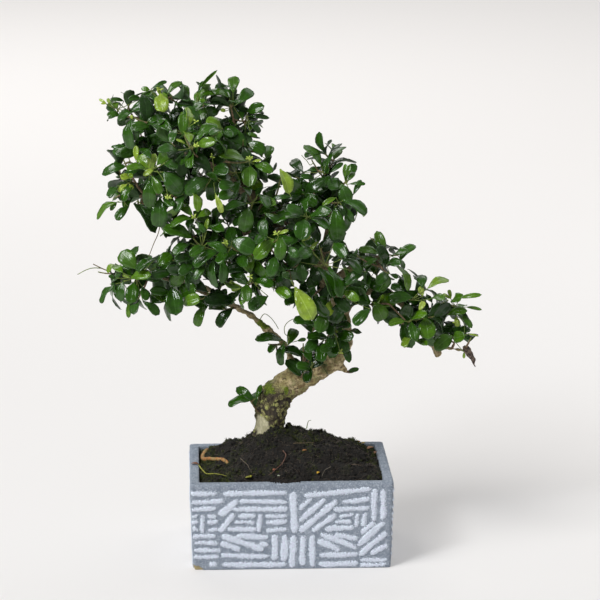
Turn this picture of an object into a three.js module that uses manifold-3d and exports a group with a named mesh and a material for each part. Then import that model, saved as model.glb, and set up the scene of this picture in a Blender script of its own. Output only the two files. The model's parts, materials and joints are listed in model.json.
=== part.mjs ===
// A fukien tea bonsai in its rectangular cast pot. Millimetres, +Z up, with the origin at the centre of
// the pot's underside. The pot's long side lies along X and its front faces -Y. The tree leans to the
// right above the soil and turns back to the left, with its leaves in sprays on the limbs.
import * as THREE from "three";
import { mergeVertices } from "three/addons/utils/BufferGeometryUtils.js";
import Module from "manifold-3d";

const wasm = await Module();
wasm.setup();
const { Manifold, Mesh } = wasm;

// Driving dimensions
const POT = { width: 190, depth: 140, height: 84, wall: 9, floor: 9, corner: 3, drawIn: 2.2 };
const STROKE = { width: 3.6, raised: 1.1, sunk: 1, bevel: 0.3 };
const SOIL = { edge: 80, rise: 35, peakX: 3, peakY: 5, reachX: 90, reachY: 66, lump: 1.6 };
const SOIL_FIT = { gap: 0.5, cornerTrim: 1.2, bedInset: 3.2, columns: 13, rows: 9 };
const ROOT = { radius: 2.3, taper: 0.35, sides: 5, steps: 9 };
const TRUNK = { bottom: 86, gnarl: 0.07, sides: 9, steps: 22 };
const LIMB_SIDES = 5;
const LEAF = { thick: 0.6, shortest: 19, longest: 25, slimmest: 0.48, broadest: 0.58, bend: 0.11 };
const LEAF_SET = { spacing: 8, most: 3, step: 0.035, stepGrowth: 1.7, airGap: 0.5 };
const LEAF_POSE = { open: 22, openStep: 16, openSpread: 16, twist: 0.7, lightSeeking: 0.5 };
const TWIG = { seat: 1.4, sideSeat: 0.9, tip: 0.75, stepBack: 0.07, elbow: 0.6, sag: 0.14, forkAt: 0.4 };
const SEAT_GAP = 0.3;

const UP = new THREE.Vector3(0, 0, 1);
const GOLDEN_ANGLE = Math.PI * (3 - Math.sqrt(5));
const vector = ([x, y, z]) => new THREE.Vector3(x, y, z);
const mix = (a, b, share) => a + (b - a) * share;

// A repeatable draw from 0 to 1 for a set of whole numbers
function chance(...keys) {
  const angle = keys.reduce((sum, key, place) => sum + (key + 1) * (12.9898 + 65.123 * place), 0);
  const spread = Math.sin(angle) * 43758.5453;
  return spread - Math.floor(spread);
}

// Between three.js geometry and closed solids
function solidOf(geometry) {
  geometry.deleteAttribute("normal");
  geometry.deleteAttribute("uv");
  const merged = mergeVertices(geometry, 1e-4);
  return new Manifold(
    new Mesh({
      numProp: 3,
      vertProperties: new Float32Array(merged.attributes.position.array),
      triVerts: new Uint32Array(merged.index.array),
    }),
  );
}

function solidFrom(points, triangles) {
  const vertProperties = new Float32Array(points.flatMap((p) => [p.x, p.y, p.z]));
  const triVerts = new Uint32Array(triangles.flat());
  return new Manifold(new Mesh({ numProp: 3, vertProperties, triVerts }));
}

function geometryOf(solid) {
  const mesh = solid.getMesh();
  const geometry = new THREE.BufferGeometry();
  geometry.setAttribute("position", new THREE.BufferAttribute(new Float32Array(mesh.vertProperties), 3));
  geometry.setIndex(new THREE.BufferAttribute(new Uint32Array(mesh.triVerts), 1));
  const faceted = geometry.toNonIndexed();
  faceted.computeVertexNormals();
  return faceted;
}

const mainBody = (solid) => solid.decompose().reduce((a, b) => (b.volume() > a.volume() ? b : a));

const moved = (solid, matrix) => solid.transform(matrix.elements);

// A closed tube round a curve: one ring of points for each step, joined by bands and closed at both ends,
// which may stand out past the curve by an overrun
function tube(curve, radiusAt, sides, steps, overrun = 0) {
  const points = [];
  let across = new THREE.Vector3(0.31, -0.93, 0.2);
  for (let step = 0; step <= steps; step++) {
    const t = step / steps;
    const along = curve.getTangent(t);
    across = across.clone().addScaledVector(along, -across.dot(along)).normalize();
    const side = new THREE.Vector3().crossVectors(along, across);
    const middle = curve.getPoint(t).addScaledVector(along, overrun * ((step === steps) - (step === 0)));
    for (let k = 0; k < sides; k++) {
      const turn = (2 * Math.PI * k) / sides;
      const offset = across.clone().multiplyScalar(Math.cos(turn)).addScaledVector(side, Math.sin(turn));
      points.push(middle.clone().addScaledVector(offset, radiusAt(t, turn)));
    }
  }
  const triangles = [];
  for (let step = 0; step < steps; step++)
    for (let k = 0; k < sides; k++) {
      const a = step * sides + k;
      const b = step * sides + ((k + 1) % sides);
      triangles.push([a, b, b + sides], [a, b + sides, a + sides]);
    }
  for (let k = 1; k < sides - 1; k++) {
    const last = steps * sides;
    triangles.push([0, k + 1, k], [last, last + k, last + k + 1]);
  }
  return solidFrom(points, triangles);
}

// POT. A cast box with straight sides that draw in a little towards the base, and a rectangular hollow.
function roundedBlock(width, depth, corner, bottom, top, drawIn) {
  const [x, y] = [width / 2, depth / 2];
  const outline = new THREE.Shape();
  outline.moveTo(x - corner, -y);
  outline.absarc(x - corner, -y + corner, corner, -Math.PI / 2, 0);
  outline.absarc(x - corner, y - corner, corner, 0, Math.PI / 2);
  outline.absarc(-x + corner, y - corner, corner, Math.PI / 2, Math.PI);
  outline.absarc(-x + corner, -y + corner, corner, Math.PI, 1.5 * Math.PI);
  const block = new THREE.ExtrudeGeometry(outline, { depth: 1, bevelEnabled: false, curveSegments: 3 });
  const place = block.attributes.position;
  for (let i = 0; i < place.count; i++) {
    const inwards = drawIn * (1 - place.getZ(i));
    place.setXYZ(
      i,
      place.getX(i) * (1 - inwards / x),
      place.getY(i) * (1 - inwards / y),
      mix(bottom, top, place.getZ(i)),
    );
  }
  return solidOf(block);
}

// The raised strokes stand in fields. Each field says how its strokes run, where it lies on the wall
// (from the left corner and from the base) and how many strokes it holds.
const FIELDS = [
  { run: "level", left: 3, right: 26, low: 62, high: 77, strokes: 3 },
  { run: "level", left: 3, right: 8, low: 41, high: 54, strokes: 3 },
  { run: "upright", left: 12, right: 12, low: 38, high: 56, strokes: 1 },
  { run: "level", left: 16, right: 26, low: 41, high: 54, strokes: 3 },
  { run: "level", left: 3, right: 26, low: 6, high: 33, strokes: 5 },
  { run: "rising", left: 28, right: 42, low: 40, high: 72, strokes: 2 },
  { run: "level", left: 33, right: 90, low: 77, high: 77, strokes: 1 },
  { run: "level", left: 46, right: 90, low: 61.5, high: 69, strokes: 2 },
  { run: "level", left: 45, right: 61, low: 41, high: 54, strokes: 3 },
  { run: "upright", left: 65.5, right: 65.5, low: 39, high: 56, strokes: 1 },
  { run: "level", left: 71, right: 90, low: 41, high: 54, strokes: 3 },
  { run: "falling", left: 28, right: 62, low: 19, high: 35, strokes: 2 },
  { run: "level", left: 52, right: 73, low: 33.5, high: 33.5, strokes: 1 },
  { run: "level", left: 66, right: 73, low: 26.5, high: 26.5, strokes: 1 },
  { run: "level", left: 28, right: 73, low: 13.5, high: 13.5, strokes: 1 },
  { run: "level", left: 28, right: 90, low: 5, high: 5, strokes: 1 },
  { run: "upright", left: 79, right: 87.5, low: 10, high: 35, strokes: 2 },
  { run: "upright", left: 96.5, right: 96.5, low: 38, high: 79, strokes: 1 },
  { run: "upright", left: 96.5, right: 96.5, low: 4, high: 34, strokes: 1 },
  { run: "level", left: 106, right: 168, low: 78, high: 78, strokes: 1 },
  { run: "rising", left: 102, right: 132, low: 38, high: 72, strokes: 4 },
  { run: "level", left: 138, right: 167, low: 62, high: 70, strokes: 2 },
  { run: "level", left: 134, right: 152, low: 41, high: 54, strokes: 3 },
  { run: "upright", left: 156, right: 163.5, low: 41, high: 57, strokes: 2 },
  { run: "upright", left: 172, right: 180, low: 50, high: 81, strokes: 2 },
  { run: "upright", left: 105.5, right: 114, low: 4, high: 34, strokes: 2 },
  { run: "falling", left: 119, right: 156, low: 19, high: 35, strokes: 2 },
  { run: "level", left: 145, right: 156, low: 33.5, high: 33.5, strokes: 1 },
  { run: "level", left: 121, right: 156, low: 5, high: 13.5, strokes: 2 },
  { run: "rising", left: 160, right: 184, low: 14, high: 46, strokes: 3 },
  { run: "level", left: 160, right: 184, low: 4, high: 9.5, strokes: 2 },
];

// The walls behind the front have fewer strokes, and the short ones leave out the fields of the middle
const MIDDLE = 98;
function wallFields(isFront, wallLength) {
  if (isFront) return FIELDS;
  const missing = POT.width - wallLength;
  return FIELDS.filter(({ left, right }) => right < MIDDLE || left > MIDDLE + missing).map((field) => {
    const shift = field.left > MIDDLE ? missing : 0;
    const strokes = Math.ceil(field.strokes / 2);
    return { ...field, left: field.left - shift, right: field.right - shift, strokes };
  });
}

// The two ends of one stroke of a field
function strokeEnds(field, index) {
  const { run, left, right, low, high, strokes } = field;
  const share = strokes > 1 ? index / (strokes - 1) : 0.5;
  if (run === "level") return [left, mix(low, high, share), right, mix(low, high, share)];
  if (run === "upright") return [mix(left, right, share), low, mix(left, right, share), high];
  return slantedEnds(field, (index + 1) / (strokes + 1), run === "rising" ? 1 : -1);
}

// A slanted stroke runs parallel to the field's diagonal and stops at the field's edges
function slantedEnds({ left, right, low, high }, share, direction) {
  const shift = 2 * share - 1;
  const start = [Math.max(0, -shift), Math.max(0, shift)];
  const end = [Math.min(1, 1 - shift), Math.min(1, 1 + shift)];
  const height = (up) => (direction > 0 ? mix(low, high, up) : mix(high, low, up));
  return [mix(left, right, start[0]), height(start[1]), mix(left, right, end[0]), height(end[1])];
}

// One stroke is a bar with bevelled sides, sunk into the wall
function stroke([x0, y0, x1, y1]) {
  const length = Math.hypot(x1 - x0, y1 - y0);
  const half = STROKE.width / 2;
  const corners = (inset, z) => [
    new THREE.Vector3(inset, -half + inset, z),
    new THREE.Vector3(length - inset, -half + inset, z),
    new THREE.Vector3(length - inset, half - inset, z),
    new THREE.Vector3(inset, half - inset, z),
  ];
  const points = [...corners(0, -STROKE.sunk), ...corners(STROKE.bevel, STROKE.raised)];
  const sides = [0, 1, 2, 3].flatMap((k) => [
    [k, (k + 1) % 4, 4 + ((k + 1) % 4)],
    [k, 4 + ((k + 1) % 4), 4 + k],
  ]);
  const bar = solidFrom(points, [[0, 2, 1], [0, 3, 2], [4, 5, 6], [4, 6, 7], ...sides]);
  const place = new THREE.Matrix4().makeRotationZ(Math.atan2(y1 - y0, x1 - x0)).setPosition(x0, y0, 0);
  return moved(bar, place);
}

function potSolid() {
  const { width, depth, height, wall, floor, corner, drawIn } = POT;
  const body = roundedBlock(width, depth, corner, 0, height, drawIn);
  const mouth = height + 1;
  const hollow = roundedBlock(width - 2 * wall, depth - 2 * wall, corner / 2, floor, mouth, drawIn);
  const lean = Math.atan2(drawIn, height);
  const bars = [0, 1, 2, 3].flatMap((quarter) => {
    const [length, out] = quarter % 2 ? [depth, width / 2] : [width, depth / 2];
    const wallPlace = new THREE.Matrix4()
      .makeRotationZ((quarter * Math.PI) / 2)
      .multiply(new THREE.Matrix4().makeTranslation(-length / 2, -out + drawIn, 0))
      .multiply(new THREE.Matrix4().makeRotationX(Math.PI / 2 + lean));
    return wallFields(quarter === 0, length).flatMap((field) =>
      Array.from({ length: field.strokes }, (_, index) => moved(stroke(strokeEnds(field, index)), wallPlace)),
    );
  });
  return Manifold.union([body, ...bars]).subtract(hollow);
}

// SOIL. It fills the pot's hollow and heaps up to the foot of the trunk.
function soilHeight(x, y) {
  const acrossX = Math.max(0, 1 - ((x - SOIL.peakX) / SOIL.reachX) ** 2);
  const acrossY = Math.max(0, 1 - ((y - SOIL.peakY) / SOIL.reachY) ** 2);
  const heap = acrossX ** 1.3 * acrossY ** 1.1;
  const small = Math.sin(x * 0.21 + 1.3) * Math.cos(y * 0.27 + x * 0.05);
  const lumps = small + 0.6 * Math.sin(x * 0.11 - y * 0.19);
  return SOIL.edge + SOIL.rise * heap + SOIL.lump * lumps * (0.35 + heap);
}

function soilSolid() {
  const { gap, cornerTrim, bedInset, columns, rows } = SOIL_FIT;
  const across = POT.width - 2 * POT.wall - 2 * gap;
  const deep = POT.depth - 2 * POT.wall - 2 * gap;
  const points = [];
  for (let row = 0; row <= rows; row++)
    for (let column = 0; column <= columns; column++) {
      const trim = column % columns === 0 && row % rows === 0 ? 2 * cornerTrim : 0;
      const x = (column / columns - 0.5) * (across - trim);
      const y = (row / rows - 0.5) * (deep - trim);
      points.push(new THREE.Vector3(x, y, soilHeight(x, y)));
    }
  const edge = [
    ...Array.from({ length: columns }, (_, k) => [k, 0]),
    ...Array.from({ length: rows }, (_, k) => [columns, k]),
    ...Array.from({ length: columns }, (_, k) => [columns - k, rows]),
    ...Array.from({ length: rows }, (_, k) => [0, rows - k]),
  ].map(([column, row]) => row * (columns + 1) + column);
  const bed = points.length;
  const [narrower, shallower] = [across, deep].map((reach) => 1 - (2 * bedInset) / reach);
  for (const index of edge) {
    const { x, y } = points[index];
    points.push(new THREE.Vector3(x * narrower, y * shallower, POT.floor));
  }
  points.push(new THREE.Vector3(0, 0, POT.floor));
  const triangles = [];
  for (let row = 0; row < rows; row++)
    for (let column = 0; column < columns; column++) {
      const a = row * (columns + 1) + column;
      const b = a + columns + 1;
      triangles.push([a, a + 1, b + 1], [a, b + 1, b]);
    }
  edge.forEach((index, k) => {
    const next = (k + 1) % edge.length;
    triangles.push([bed + k, bed + next, edge[next]], [bed + k, edge[next], index]);
    triangles.push([points.length - 1, bed + next, bed + k]);
  });
  return solidFrom(points, triangles);
}

// A pale root lies half sunk on the left of the heap and dips under the soil at both ends. Each place on
// its course is [x, y, height above the soil].
const curveThrough = (points) => new THREE.CatmullRomCurve3(points, false, "catmullrom");
const ROOT_COURSE = [
  [-70, 50, -6], [-78, 46, 0.4], [-82, 32, 1], [-81, 16, 1],
  [-75, 4, 1], [-68, -8, 1], [-62, -18, 0.4], [-55, -28, -5],
];
const rootCurve = curveThrough(
  ROOT_COURSE.map(([x, y, lift]) => new THREE.Vector3(x, y, soilHeight(x, y) + lift)),
);
function rootSolid(extra) {
  const radiusAt = (t) => ROOT.radius * (1 - ROOT.taper * t) + extra;
  return tube(rootCurve, radiusAt, ROOT.sides, ROOT.steps, extra);
}

// WOOD. The trunk and its limbs, each a list of places [x, y, z, radius] from its foot to its end.
const LIMBS = {
  trunk: [
    [-18, 4, TRUNK.bottom, 14], [-18, 4, 104, 15], [-18, 4, 120, 15], [-16.5, 4, 139.5, 15],
    [-7.5, 2, 155.2, 13.2], [8, 0, 166.6, 13.2], [25.6, -3, 178, 13], [40, -6, 188.5, 12.6],
    [48, -6, 203, 11.5], [48, -4, 218, 10], [45, 0, 237, 9.2], [38, 4, 257, 8.4], [25, 6, 278, 7.6],
    [9, 4, 299, 6.8], [-9, 0, 319, 6], [-30, -4, 339, 5.2], [-50, -6, 356, 4.4], [-68, -4, 372, 3.6],
    [-80, 0, 388, 2.8], [-82, 2, 405, 2],
  ],
  left: [
    [3, 0, 171, 5.2], [-2, -4, 186, 3], [-7, -6, 196, 2.5], [-14, -8, 208, 3.1], [-23, -10, 219, 3.6],
    [-35, -12, 230, 2.7], [-48, -14, 239, 2.4], [-65, -16, 247, 2.4], [-86, -18, 257, 2.2],
    [-108, -20, 267, 2], [-130, -20, 273, 1.7], [-152, -18, 278, 1.3],
  ],
  right: [
    [47, -2, 225, 6.5], [58, 6, 239, 5.4], [75, 10, 249, 4.6], [93, 12, 247, 4], [108, 12, 235, 3.5],
    [119, 12, 220, 3.2], [132, 12, 201, 3], [144, 12, 185, 3.2],
  ],
  right_shoot: [[138, 12, 193, 2.4], [150, 10, 193, 1.8], [162, 8, 191, 1.4], [171, 8, 189, 1.1]],
  lobe: [[30, 5, 268, 5.5], [35, 10, 289, 4.4], [38, 12, 311, 3.6], [38, 12, 334, 2.9], [42, 10, 355, 2]],
  shoulder: [[40, 2, 257, 5], [53, -10, 272, 3.8], [71, -11, 281, 3.2], [89, -8, 287, 2.4]],
  crown_low: [
    [-53, -6, 358, 4], [-77, -14, 359, 3.2], [-100, -20, 355, 2.7], [-123, -22, 350, 2.1],
    [-138, -20, 347, 1.6],
  ],
  crown_left: [[-75, -2, 380, 3.2], [-92, 4, 397, 2.7], [-112, 8, 409, 2.3], [-133, 10, 417, 1.8]],
  crown_right: [[-60, -4, 365, 3.6], [-53, 4, 384, 2.9], [-47, 8, 404, 2.1]],
  crown_front: [[-46, -6, 352, 4], [-61, -30, 369, 3], [-76, -50, 383, 2.2]],
  crown_back: [[-48, -6, 354, 4], [-62, 25, 367, 3], [-75, 48, 376, 2.1]],
  front: [[23, 6, 280, 5], [9, -20, 284, 3.8], [-5, -42, 284, 2.6]],
  back: [[21, 6, 283, 5], [12, 35, 288, 3.8], [3, 62, 288, 2.6]],
  middle_left: [[-5, 1, 314, 4.6], [-31, -12, 314, 3.6], [-59, -20, 307, 2.9], [-87, -24, 298, 2]],
  right_front: [[44, 0, 241, 5], [37, -25, 257, 3.6], [28, -46, 266, 2.2]],
  right_back: [[46, 0, 231, 5], [58, 28, 245, 3.8], [68, 52, 258, 2.4]],
  left_back: [[-67, -16, 248, 2.8], [-76, 10, 252, 2.2], [-89, 30, 255, 1.5]],
  old_stub: [[40, -5, 184, 6], [49, -8, 178.5, 3.2], [54, -9, 175, 1.2]],
};

const limbCurves = Object.fromEntries(
  Object.entries(LIMBS).map(([name, places]) => [name, curveThrough(places.map(vector))]),
);

function limbRadius(places, t) {
  const place = Math.min(t * (places.length - 1), places.length - 1 - 1e-9);
  const below = Math.floor(place);
  return mix(places[below][3], places[below + 1][3], place - below);
}

// Low ridges wind round the trunk
function gnarl(t, turn) {
  return 1 + TRUNK.gnarl * (Math.sin(3 * turn + 19 * t) + 0.7 * Math.sin(2 * turn - 31 * t));
}

function limbSolid(name, extra) {
  const places = LIMBS[name];
  const isTrunk = name === "trunk";
  const [sides, steps] = isTrunk ? [TRUNK.sides, TRUNK.steps] : [LIMB_SIDES, places.length - 1];
  const radiusAt = (t, turn) => limbRadius(places, t) * (isTrunk ? gnarl(t, turn) : 1) + extra;
  return tube(limbCurves[name], radiusAt, sides, steps, extra);
}

const woodSolid = (extra) => Manifold.union(Object.keys(LIMBS).map((name) => limbSolid(name, extra)));

// LEAVES. One blade lies along +X with its upper face towards +Z: a wedge that is widest near its blunt
// end and bent down there. The outline's points are shares of the length, half width and bend.
function blade(length, width, thick) {
  const half = width / 2;
  const bend = LEAF.bend * length;
  const outline = [[0, 0, 0], [0.66, -1, 0.5], [1, -0.48, -0.4], [1, 0.48, -0.4], [0.66, 1, 0.5]];
  const count = outline.length;
  const faces = [[0, 1, 4], [1, 2, 3], [1, 3, 4]];
  const points = [thick / 2, -thick / 2].flatMap((lift) =>
    outline.map(([x, y, z]) => new THREE.Vector3(x * length, y * half, z * bend + lift)),
  );
  const rim = outline.flatMap((_, k) => {
    const next = (k + 1) % count;
    return [[k, count + k, count + next], [k, count + next, next]];
  });
  const under = faces.map(([a, b, c]) => [count + a, count + c, count + b]);
  return solidFrom(points, [...faces, ...under, ...rim]);
}

// Where each leaf of a twig sits. Leaf 1 is the youngest, close to the end, and the others follow in
// golden-angle turns, wider apart and more open. Each turns its upper face somewhat to the light.
function leafPlace(curve, spray, tip, leaf) {
  const t = 1 - LEAF_SET.step * leaf ** LEAF_SET.stepGrowth;
  const along = curve.getTangent(t);
  const level = Math.abs(along.z) < 0.9 ? UP : new THREE.Vector3(1, 0, 0);
  const across = new THREE.Vector3().crossVectors(along, level).normalize();
  const side = new THREE.Vector3().crossVectors(along, across);
  const turn = leaf * GOLDEN_ANGLE + 2 * Math.PI * chance(spray, tip, 7);
  const radial = across.multiplyScalar(Math.cos(turn)).addScaledVector(side, Math.sin(turn));
  const { open, openStep, openSpread, twist, lightSeeking } = LEAF_POSE;
  const degrees = open + openStep * leaf + openSpread * (chance(spray, tip, leaf, 1) - 0.5);
  const lean = THREE.MathUtils.degToRad(degrees);
  const axis = along.clone().multiplyScalar(Math.cos(lean)).addScaledVector(radial, Math.sin(lean));
  const face = along.clone().multiplyScalar(Math.sin(lean)).addScaledVector(radial, -Math.cos(lean));
  face.addScaledVector(UP, lightSeeking);
  face.addScaledVector(axis, -face.dot(axis)).normalize();
  face.applyAxisAngle(axis, twist * (chance(spray, tip, leaf, 2) - 0.5));
  const width = new THREE.Vector3().crossVectors(face, axis);
  return new THREE.Matrix4().makeBasis(axis, width, face).setPosition(curve.getPoint(t));
}

// SPRAYS. Each is a leafy stem with the limb it grows from and the places where its twigs end.
const SPRAYS = {
  crown_1: ["crown_left", [-162, 8, 421], [-148, -10, 430]],
  crown_2: ["crown_left", [-128, 14, 426], [-108, -4, 438]],
  crown_3: ["crown_left", [-150, -16, 404], [-130, -26, 417], [-135, -10, 396]],
  crown_4: ["trunk", [-79, 6, 437], [-93, -20, 426]],
  crown_5: ["crown_right", [-55, 0, 435], [-36, 8, 412]],
  crown_6: ["crown_right", [-32, -6, 386], [-43, -28, 400], [-40, -12, 366]],
  crown_7: ["crown_low", [-153, -14, 380], [-163, -20, 345], [-157, -2, 361]],
  crown_8: ["crown_low", [-140, -32, 338], [-116, -28, 330]],
  crown_9: ["crown_low", [-128, -46, 374], [-105, -46, 352]],
  crown_10: ["crown_front", [-92, -76, 401], [-112, -50, 404]],
  crown_11: ["crown_front", [-74, -60, 370], [-59, -54, 386]],
  crown_12: ["crown_right", [-84, -36, 415], [-62, -36, 412]],
  crown_13: ["crown_back", [-110, 50, 399], [-86, 42, 414]],
  crown_14: ["crown_back", [-109, 62, 361], [-78, 58, 350], [-131, 36, 362]],
  crown_15: ["crown_back", [-45, 44, 371], [-59, 48, 401]],
  middle_1: ["middle_left", [-72, -36, 322], [-108, -36, 316]],
  middle_2: ["middle_left", [-111, -28, 288], [-96, -42, 280]],
  middle_3: ["middle_left", [-80, 4, 282], [-62, 28, 284]],
  middle_4: ["trunk", [-42, -38, 335]],
  middle_5: ["front", [-24, -66, 314], [-47, -60, 303]],
  middle_6: ["front", [-40, -58, 286], [-47, -50, 266]],
  middle_7: ["front", [-20, -64, 275], [-2, -60, 286]],
  middle_8: ["trunk", [10, -42, 316], [29, -40, 301], [-18, -26, 346]],
  middle_9: ["right_front", [13, -68, 260]],
  middle_10: ["right_front", [36, -48, 253], [55, -42, 267]],
  middle_11: ["back", [-10, 84, 297], [-25, 66, 271]],
  middle_12: ["back", [15, 52, 307], [-6, 56, 258]],
  middle_13: ["right_back", [77, 76, 265], [56, 56, 286], [50, 58, 240]],
  middle_14: ["trunk", [-45, 32, 338], [-24, 34, 315]],
  lobe_1: ["lobe", [21, -4, 377], [43, 12, 375]],
  lobe_2: ["lobe", [5, 10, 360], [11, -22, 348], [20, -24, 326]],
  lobe_3: ["lobe", [55, -6, 358], [62, 6, 333]],
  lobe_4: ["lobe", [41, -28, 341], [49, -24, 312]],
  lobe_5: ["lobe", [33, 42, 330], [44, 36, 336]],
  shoulder_1: ["shoulder", [88, -8, 294], [104, -2, 286]],
  shoulder_2: ["shoulder", [91, -30, 274], [60, -30, 293]],
  shoulder_3: ["right", [80, -14, 240], [66, -24, 250]],
  right_1: ["right", [104, -10, 252], [128, 6, 253]],
  right_2: ["right", [151, 6, 240], [165, 14, 228]],
  right_3: ["right", [106, -6, 220]],
  right_4: ["right", [136, -14, 229], [125, -10, 209]],
  right_5: ["right_shoot", [160, 2, 208], [145, 22, 207]],
  right_6: ["right_shoot", [172, -4, 206]],
  left_1: ["left", [-162, -22, 284], [-167, -24, 265], [-178, -20, 276]],
  left_2: ["left", [-142, -40, 276], [-142, -34, 252], [-121, -2, 275]],
  left_3: ["left", [-116, -40, 253], [-92, -36, 252]],
  left_4: ["left", [-63, -28, 242]],
  left_5: ["left_back", [-95, 38, 256], [-115, 26, 263]],
  low_1: ["left", [-20, -14, 204], [-12, -16, 197]],
  low_2: ["trunk", [-38, -8, 150]],
  low_3: ["trunk", [12, -30, 208], [22, -34, 228]],
  low_4: ["trunk", [16, -28, 184]],
  low_5: ["trunk", [51, -26, 220]],
  low_6: ["old_stub", [60, -8, 174]],
};

// A twig leaves its limb a little below the place nearest its end, sags, and turns up
function seatOn(limb, tip) {
  const shares = Array.from({ length: 41 }, (_, k) => k / 40);
  const distances = shares.map((t) => limbCurves[limb].getPoint(t).distanceTo(tip));
  const nearest = shares[distances.indexOf(Math.min(...distances))];
  return limbCurves[limb].getPoint(Math.max(0.02, nearest - TWIG.stepBack));
}

function twigCurve(start, tip) {
  const elbow = start.clone().lerp(tip, TWIG.elbow);
  elbow.z -= TWIG.sag * start.distanceTo(tip);
  return new THREE.QuadraticBezierCurve3(start, elbow, tip);
}

// A spray's main twig, and the side twigs that fork off it
function twigCurves([limb, ...tips]) {
  const ends = tips.map(vector);
  const main = twigCurve(seatOn(limb, ends[0]), ends[0]);
  return [main, ...ends.slice(1).map((end) => twigCurve(main.getPoint(TWIG.forkAt), end))];
}

const mainTwig = (curve) => tube(curve, (t) => mix(TWIG.seat, TWIG.tip, t), 3, 3);
const sideTwig = (curve) => tube(curve, (t) => mix(TWIG.sideSeat, TWIG.tip, t), 3, 2);

// The leaves of one twig, fewer on a short one. A leaf that would touch another spray is left out.
function twigLeaves(curve, spray, tip, taken) {
  const { spacing, most, airGap } = LEAF_SET;
  const count = Math.min(most, Math.max(1, Math.floor(curve.getLength() / spacing)));
  return Array.from({ length: count }, (_, k) => k + 1).flatMap((leaf) => {
    const length = mix(LEAF.shortest, LEAF.longest, chance(spray, tip, leaf, 3));
    const width = length * mix(LEAF.slimmest, LEAF.broadest, chance(spray, tip, leaf, 4));
    const place = leafPlace(curve, spray, tip, leaf);
    const withAir = moved(blade(length + airGap, width + 2 * airGap, LEAF.thick + 2 * airGap), place);
    return withAir.intersect(taken).isEmpty() ? [moved(blade(length, width, LEAF.thick), place)] : [];
  });
}

const woodClearance = woodSolid(SEAT_GAP);
const stems = Object.entries(SPRAYS).map(([name, places]) => {
  const curves = twigCurves(places);
  const [main, ...side] = curves;
  return { name, curves, solid: Manifold.union([mainTwig(main), ...side.map(sideTwig)]) };
});

// Each spray is finished among the finished ones before it and the bare twigs after it
const sprays = [];
stems.forEach(({ name, curves, solid: twigs }, spray) => {
  const taken = Manifold.union([...sprays, ...stems.slice(spray + 1)].map((other) => other.solid));
  const leaves = curves.flatMap((curve, tip) => twigLeaves(curve, spray, tip, taken));
  sprays.push({ name, solid: mainBody(Manifold.union([twigs, ...leaves]).subtract(woodClearance)) });
});

// A withered leaf hangs from the end of the lowest shoot on the right.
const WITHERED = { length: 17, width: 6.5, foot: [171.8, 8, 188.8], along: [0.45, -0.1, -0.9] };
function witheredSolid() {
  const axis = vector(WITHERED.along).normalize();
  const width = new THREE.Vector3().crossVectors(UP, axis).normalize();
  const face = new THREE.Vector3().crossVectors(axis, width);
  const place = new THREE.Matrix4().makeBasis(axis, width, face).setPosition(...WITHERED.foot);
  return moved(blade(WITHERED.length, WITHERED.width, LEAF.thick), place);
}

// ASSEMBLY. Soil fills the pot, the trunk and the pale root stand in plain holes in it.
const material = (color, roughness) => new THREE.MeshStandardMaterial({ color, roughness, metalness: 0 });
const CAST = material(0x9aa3ae, 0.85);
const EARTH = material(0x2b241d, 0.95);
const BARK = material(0x8a7a58, 0.9);
const PALE_ROOT = material(0xb98a4e, 0.8);
const DEEP_GREEN = material(0x23512a, 0.3);
const FRESH_GREEN = material(0x3f6f2a, 0.35);
const DRY = material(0x5a4c40, 0.9);

function piece(name, solid, finish) {
  const mesh = new THREE.Mesh(geometryOf(solid), finish);
  mesh.name = name;
  return mesh;
}

const bonsai = new THREE.Group();
bonsai.add(piece("pot", potSolid(), CAST));
const standingRoom = woodClearance.add(rootSolid(SEAT_GAP));
bonsai.add(piece("soil", mainBody(soilSolid().subtract(standingRoom)), EARTH));
bonsai.add(piece("surface_root", rootSolid(0), PALE_ROOT));
bonsai.add(piece("trunk_and_limbs", woodSolid(0), BARK));
const foliage = new THREE.Group();
for (const { name, solid } of sprays) {
  foliage.add(piece(`spray_${name}`, solid, name.startsWith("right") ? FRESH_GREEN : DEEP_GREEN));
}
bonsai.add(foliage);
bonsai.add(piece("withered_leaf", witheredSolid(), DRY));

export default bonsai;
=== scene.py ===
import json
import math

import bpy
import numpy as np
from mathutils import Matrix, Vector, noise

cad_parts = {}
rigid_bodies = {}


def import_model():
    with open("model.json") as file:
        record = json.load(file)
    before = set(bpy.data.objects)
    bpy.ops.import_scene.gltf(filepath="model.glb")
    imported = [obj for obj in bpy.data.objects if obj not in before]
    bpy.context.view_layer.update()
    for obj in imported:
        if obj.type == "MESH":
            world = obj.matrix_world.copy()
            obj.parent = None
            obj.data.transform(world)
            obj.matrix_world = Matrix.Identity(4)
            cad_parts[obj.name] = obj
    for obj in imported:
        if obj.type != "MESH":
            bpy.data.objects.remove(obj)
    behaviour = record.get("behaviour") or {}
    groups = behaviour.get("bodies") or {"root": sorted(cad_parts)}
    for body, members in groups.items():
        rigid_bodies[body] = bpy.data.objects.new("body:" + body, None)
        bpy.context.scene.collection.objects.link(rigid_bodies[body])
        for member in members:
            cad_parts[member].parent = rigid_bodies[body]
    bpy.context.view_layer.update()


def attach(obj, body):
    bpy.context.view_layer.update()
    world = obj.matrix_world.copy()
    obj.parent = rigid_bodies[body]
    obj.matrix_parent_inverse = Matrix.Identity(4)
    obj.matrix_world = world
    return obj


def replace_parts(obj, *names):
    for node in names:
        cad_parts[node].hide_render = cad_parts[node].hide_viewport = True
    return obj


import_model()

# THE STUDIO. The bonsai stands on a plain pale floor that glows weakly, like a lit table, in soft daylight
# from the upper left. The camera looks slightly down from the front, so the soil shows over the pot's rim.
MM = 0.001


def put(tree, value, socket):
    """Set a node's input to a value or join it to another node's output"""
    if isinstance(value, bpy.types.NodeSocket):
        tree.links.new(value, socket)
    else:
        socket.default_value = value


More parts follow.
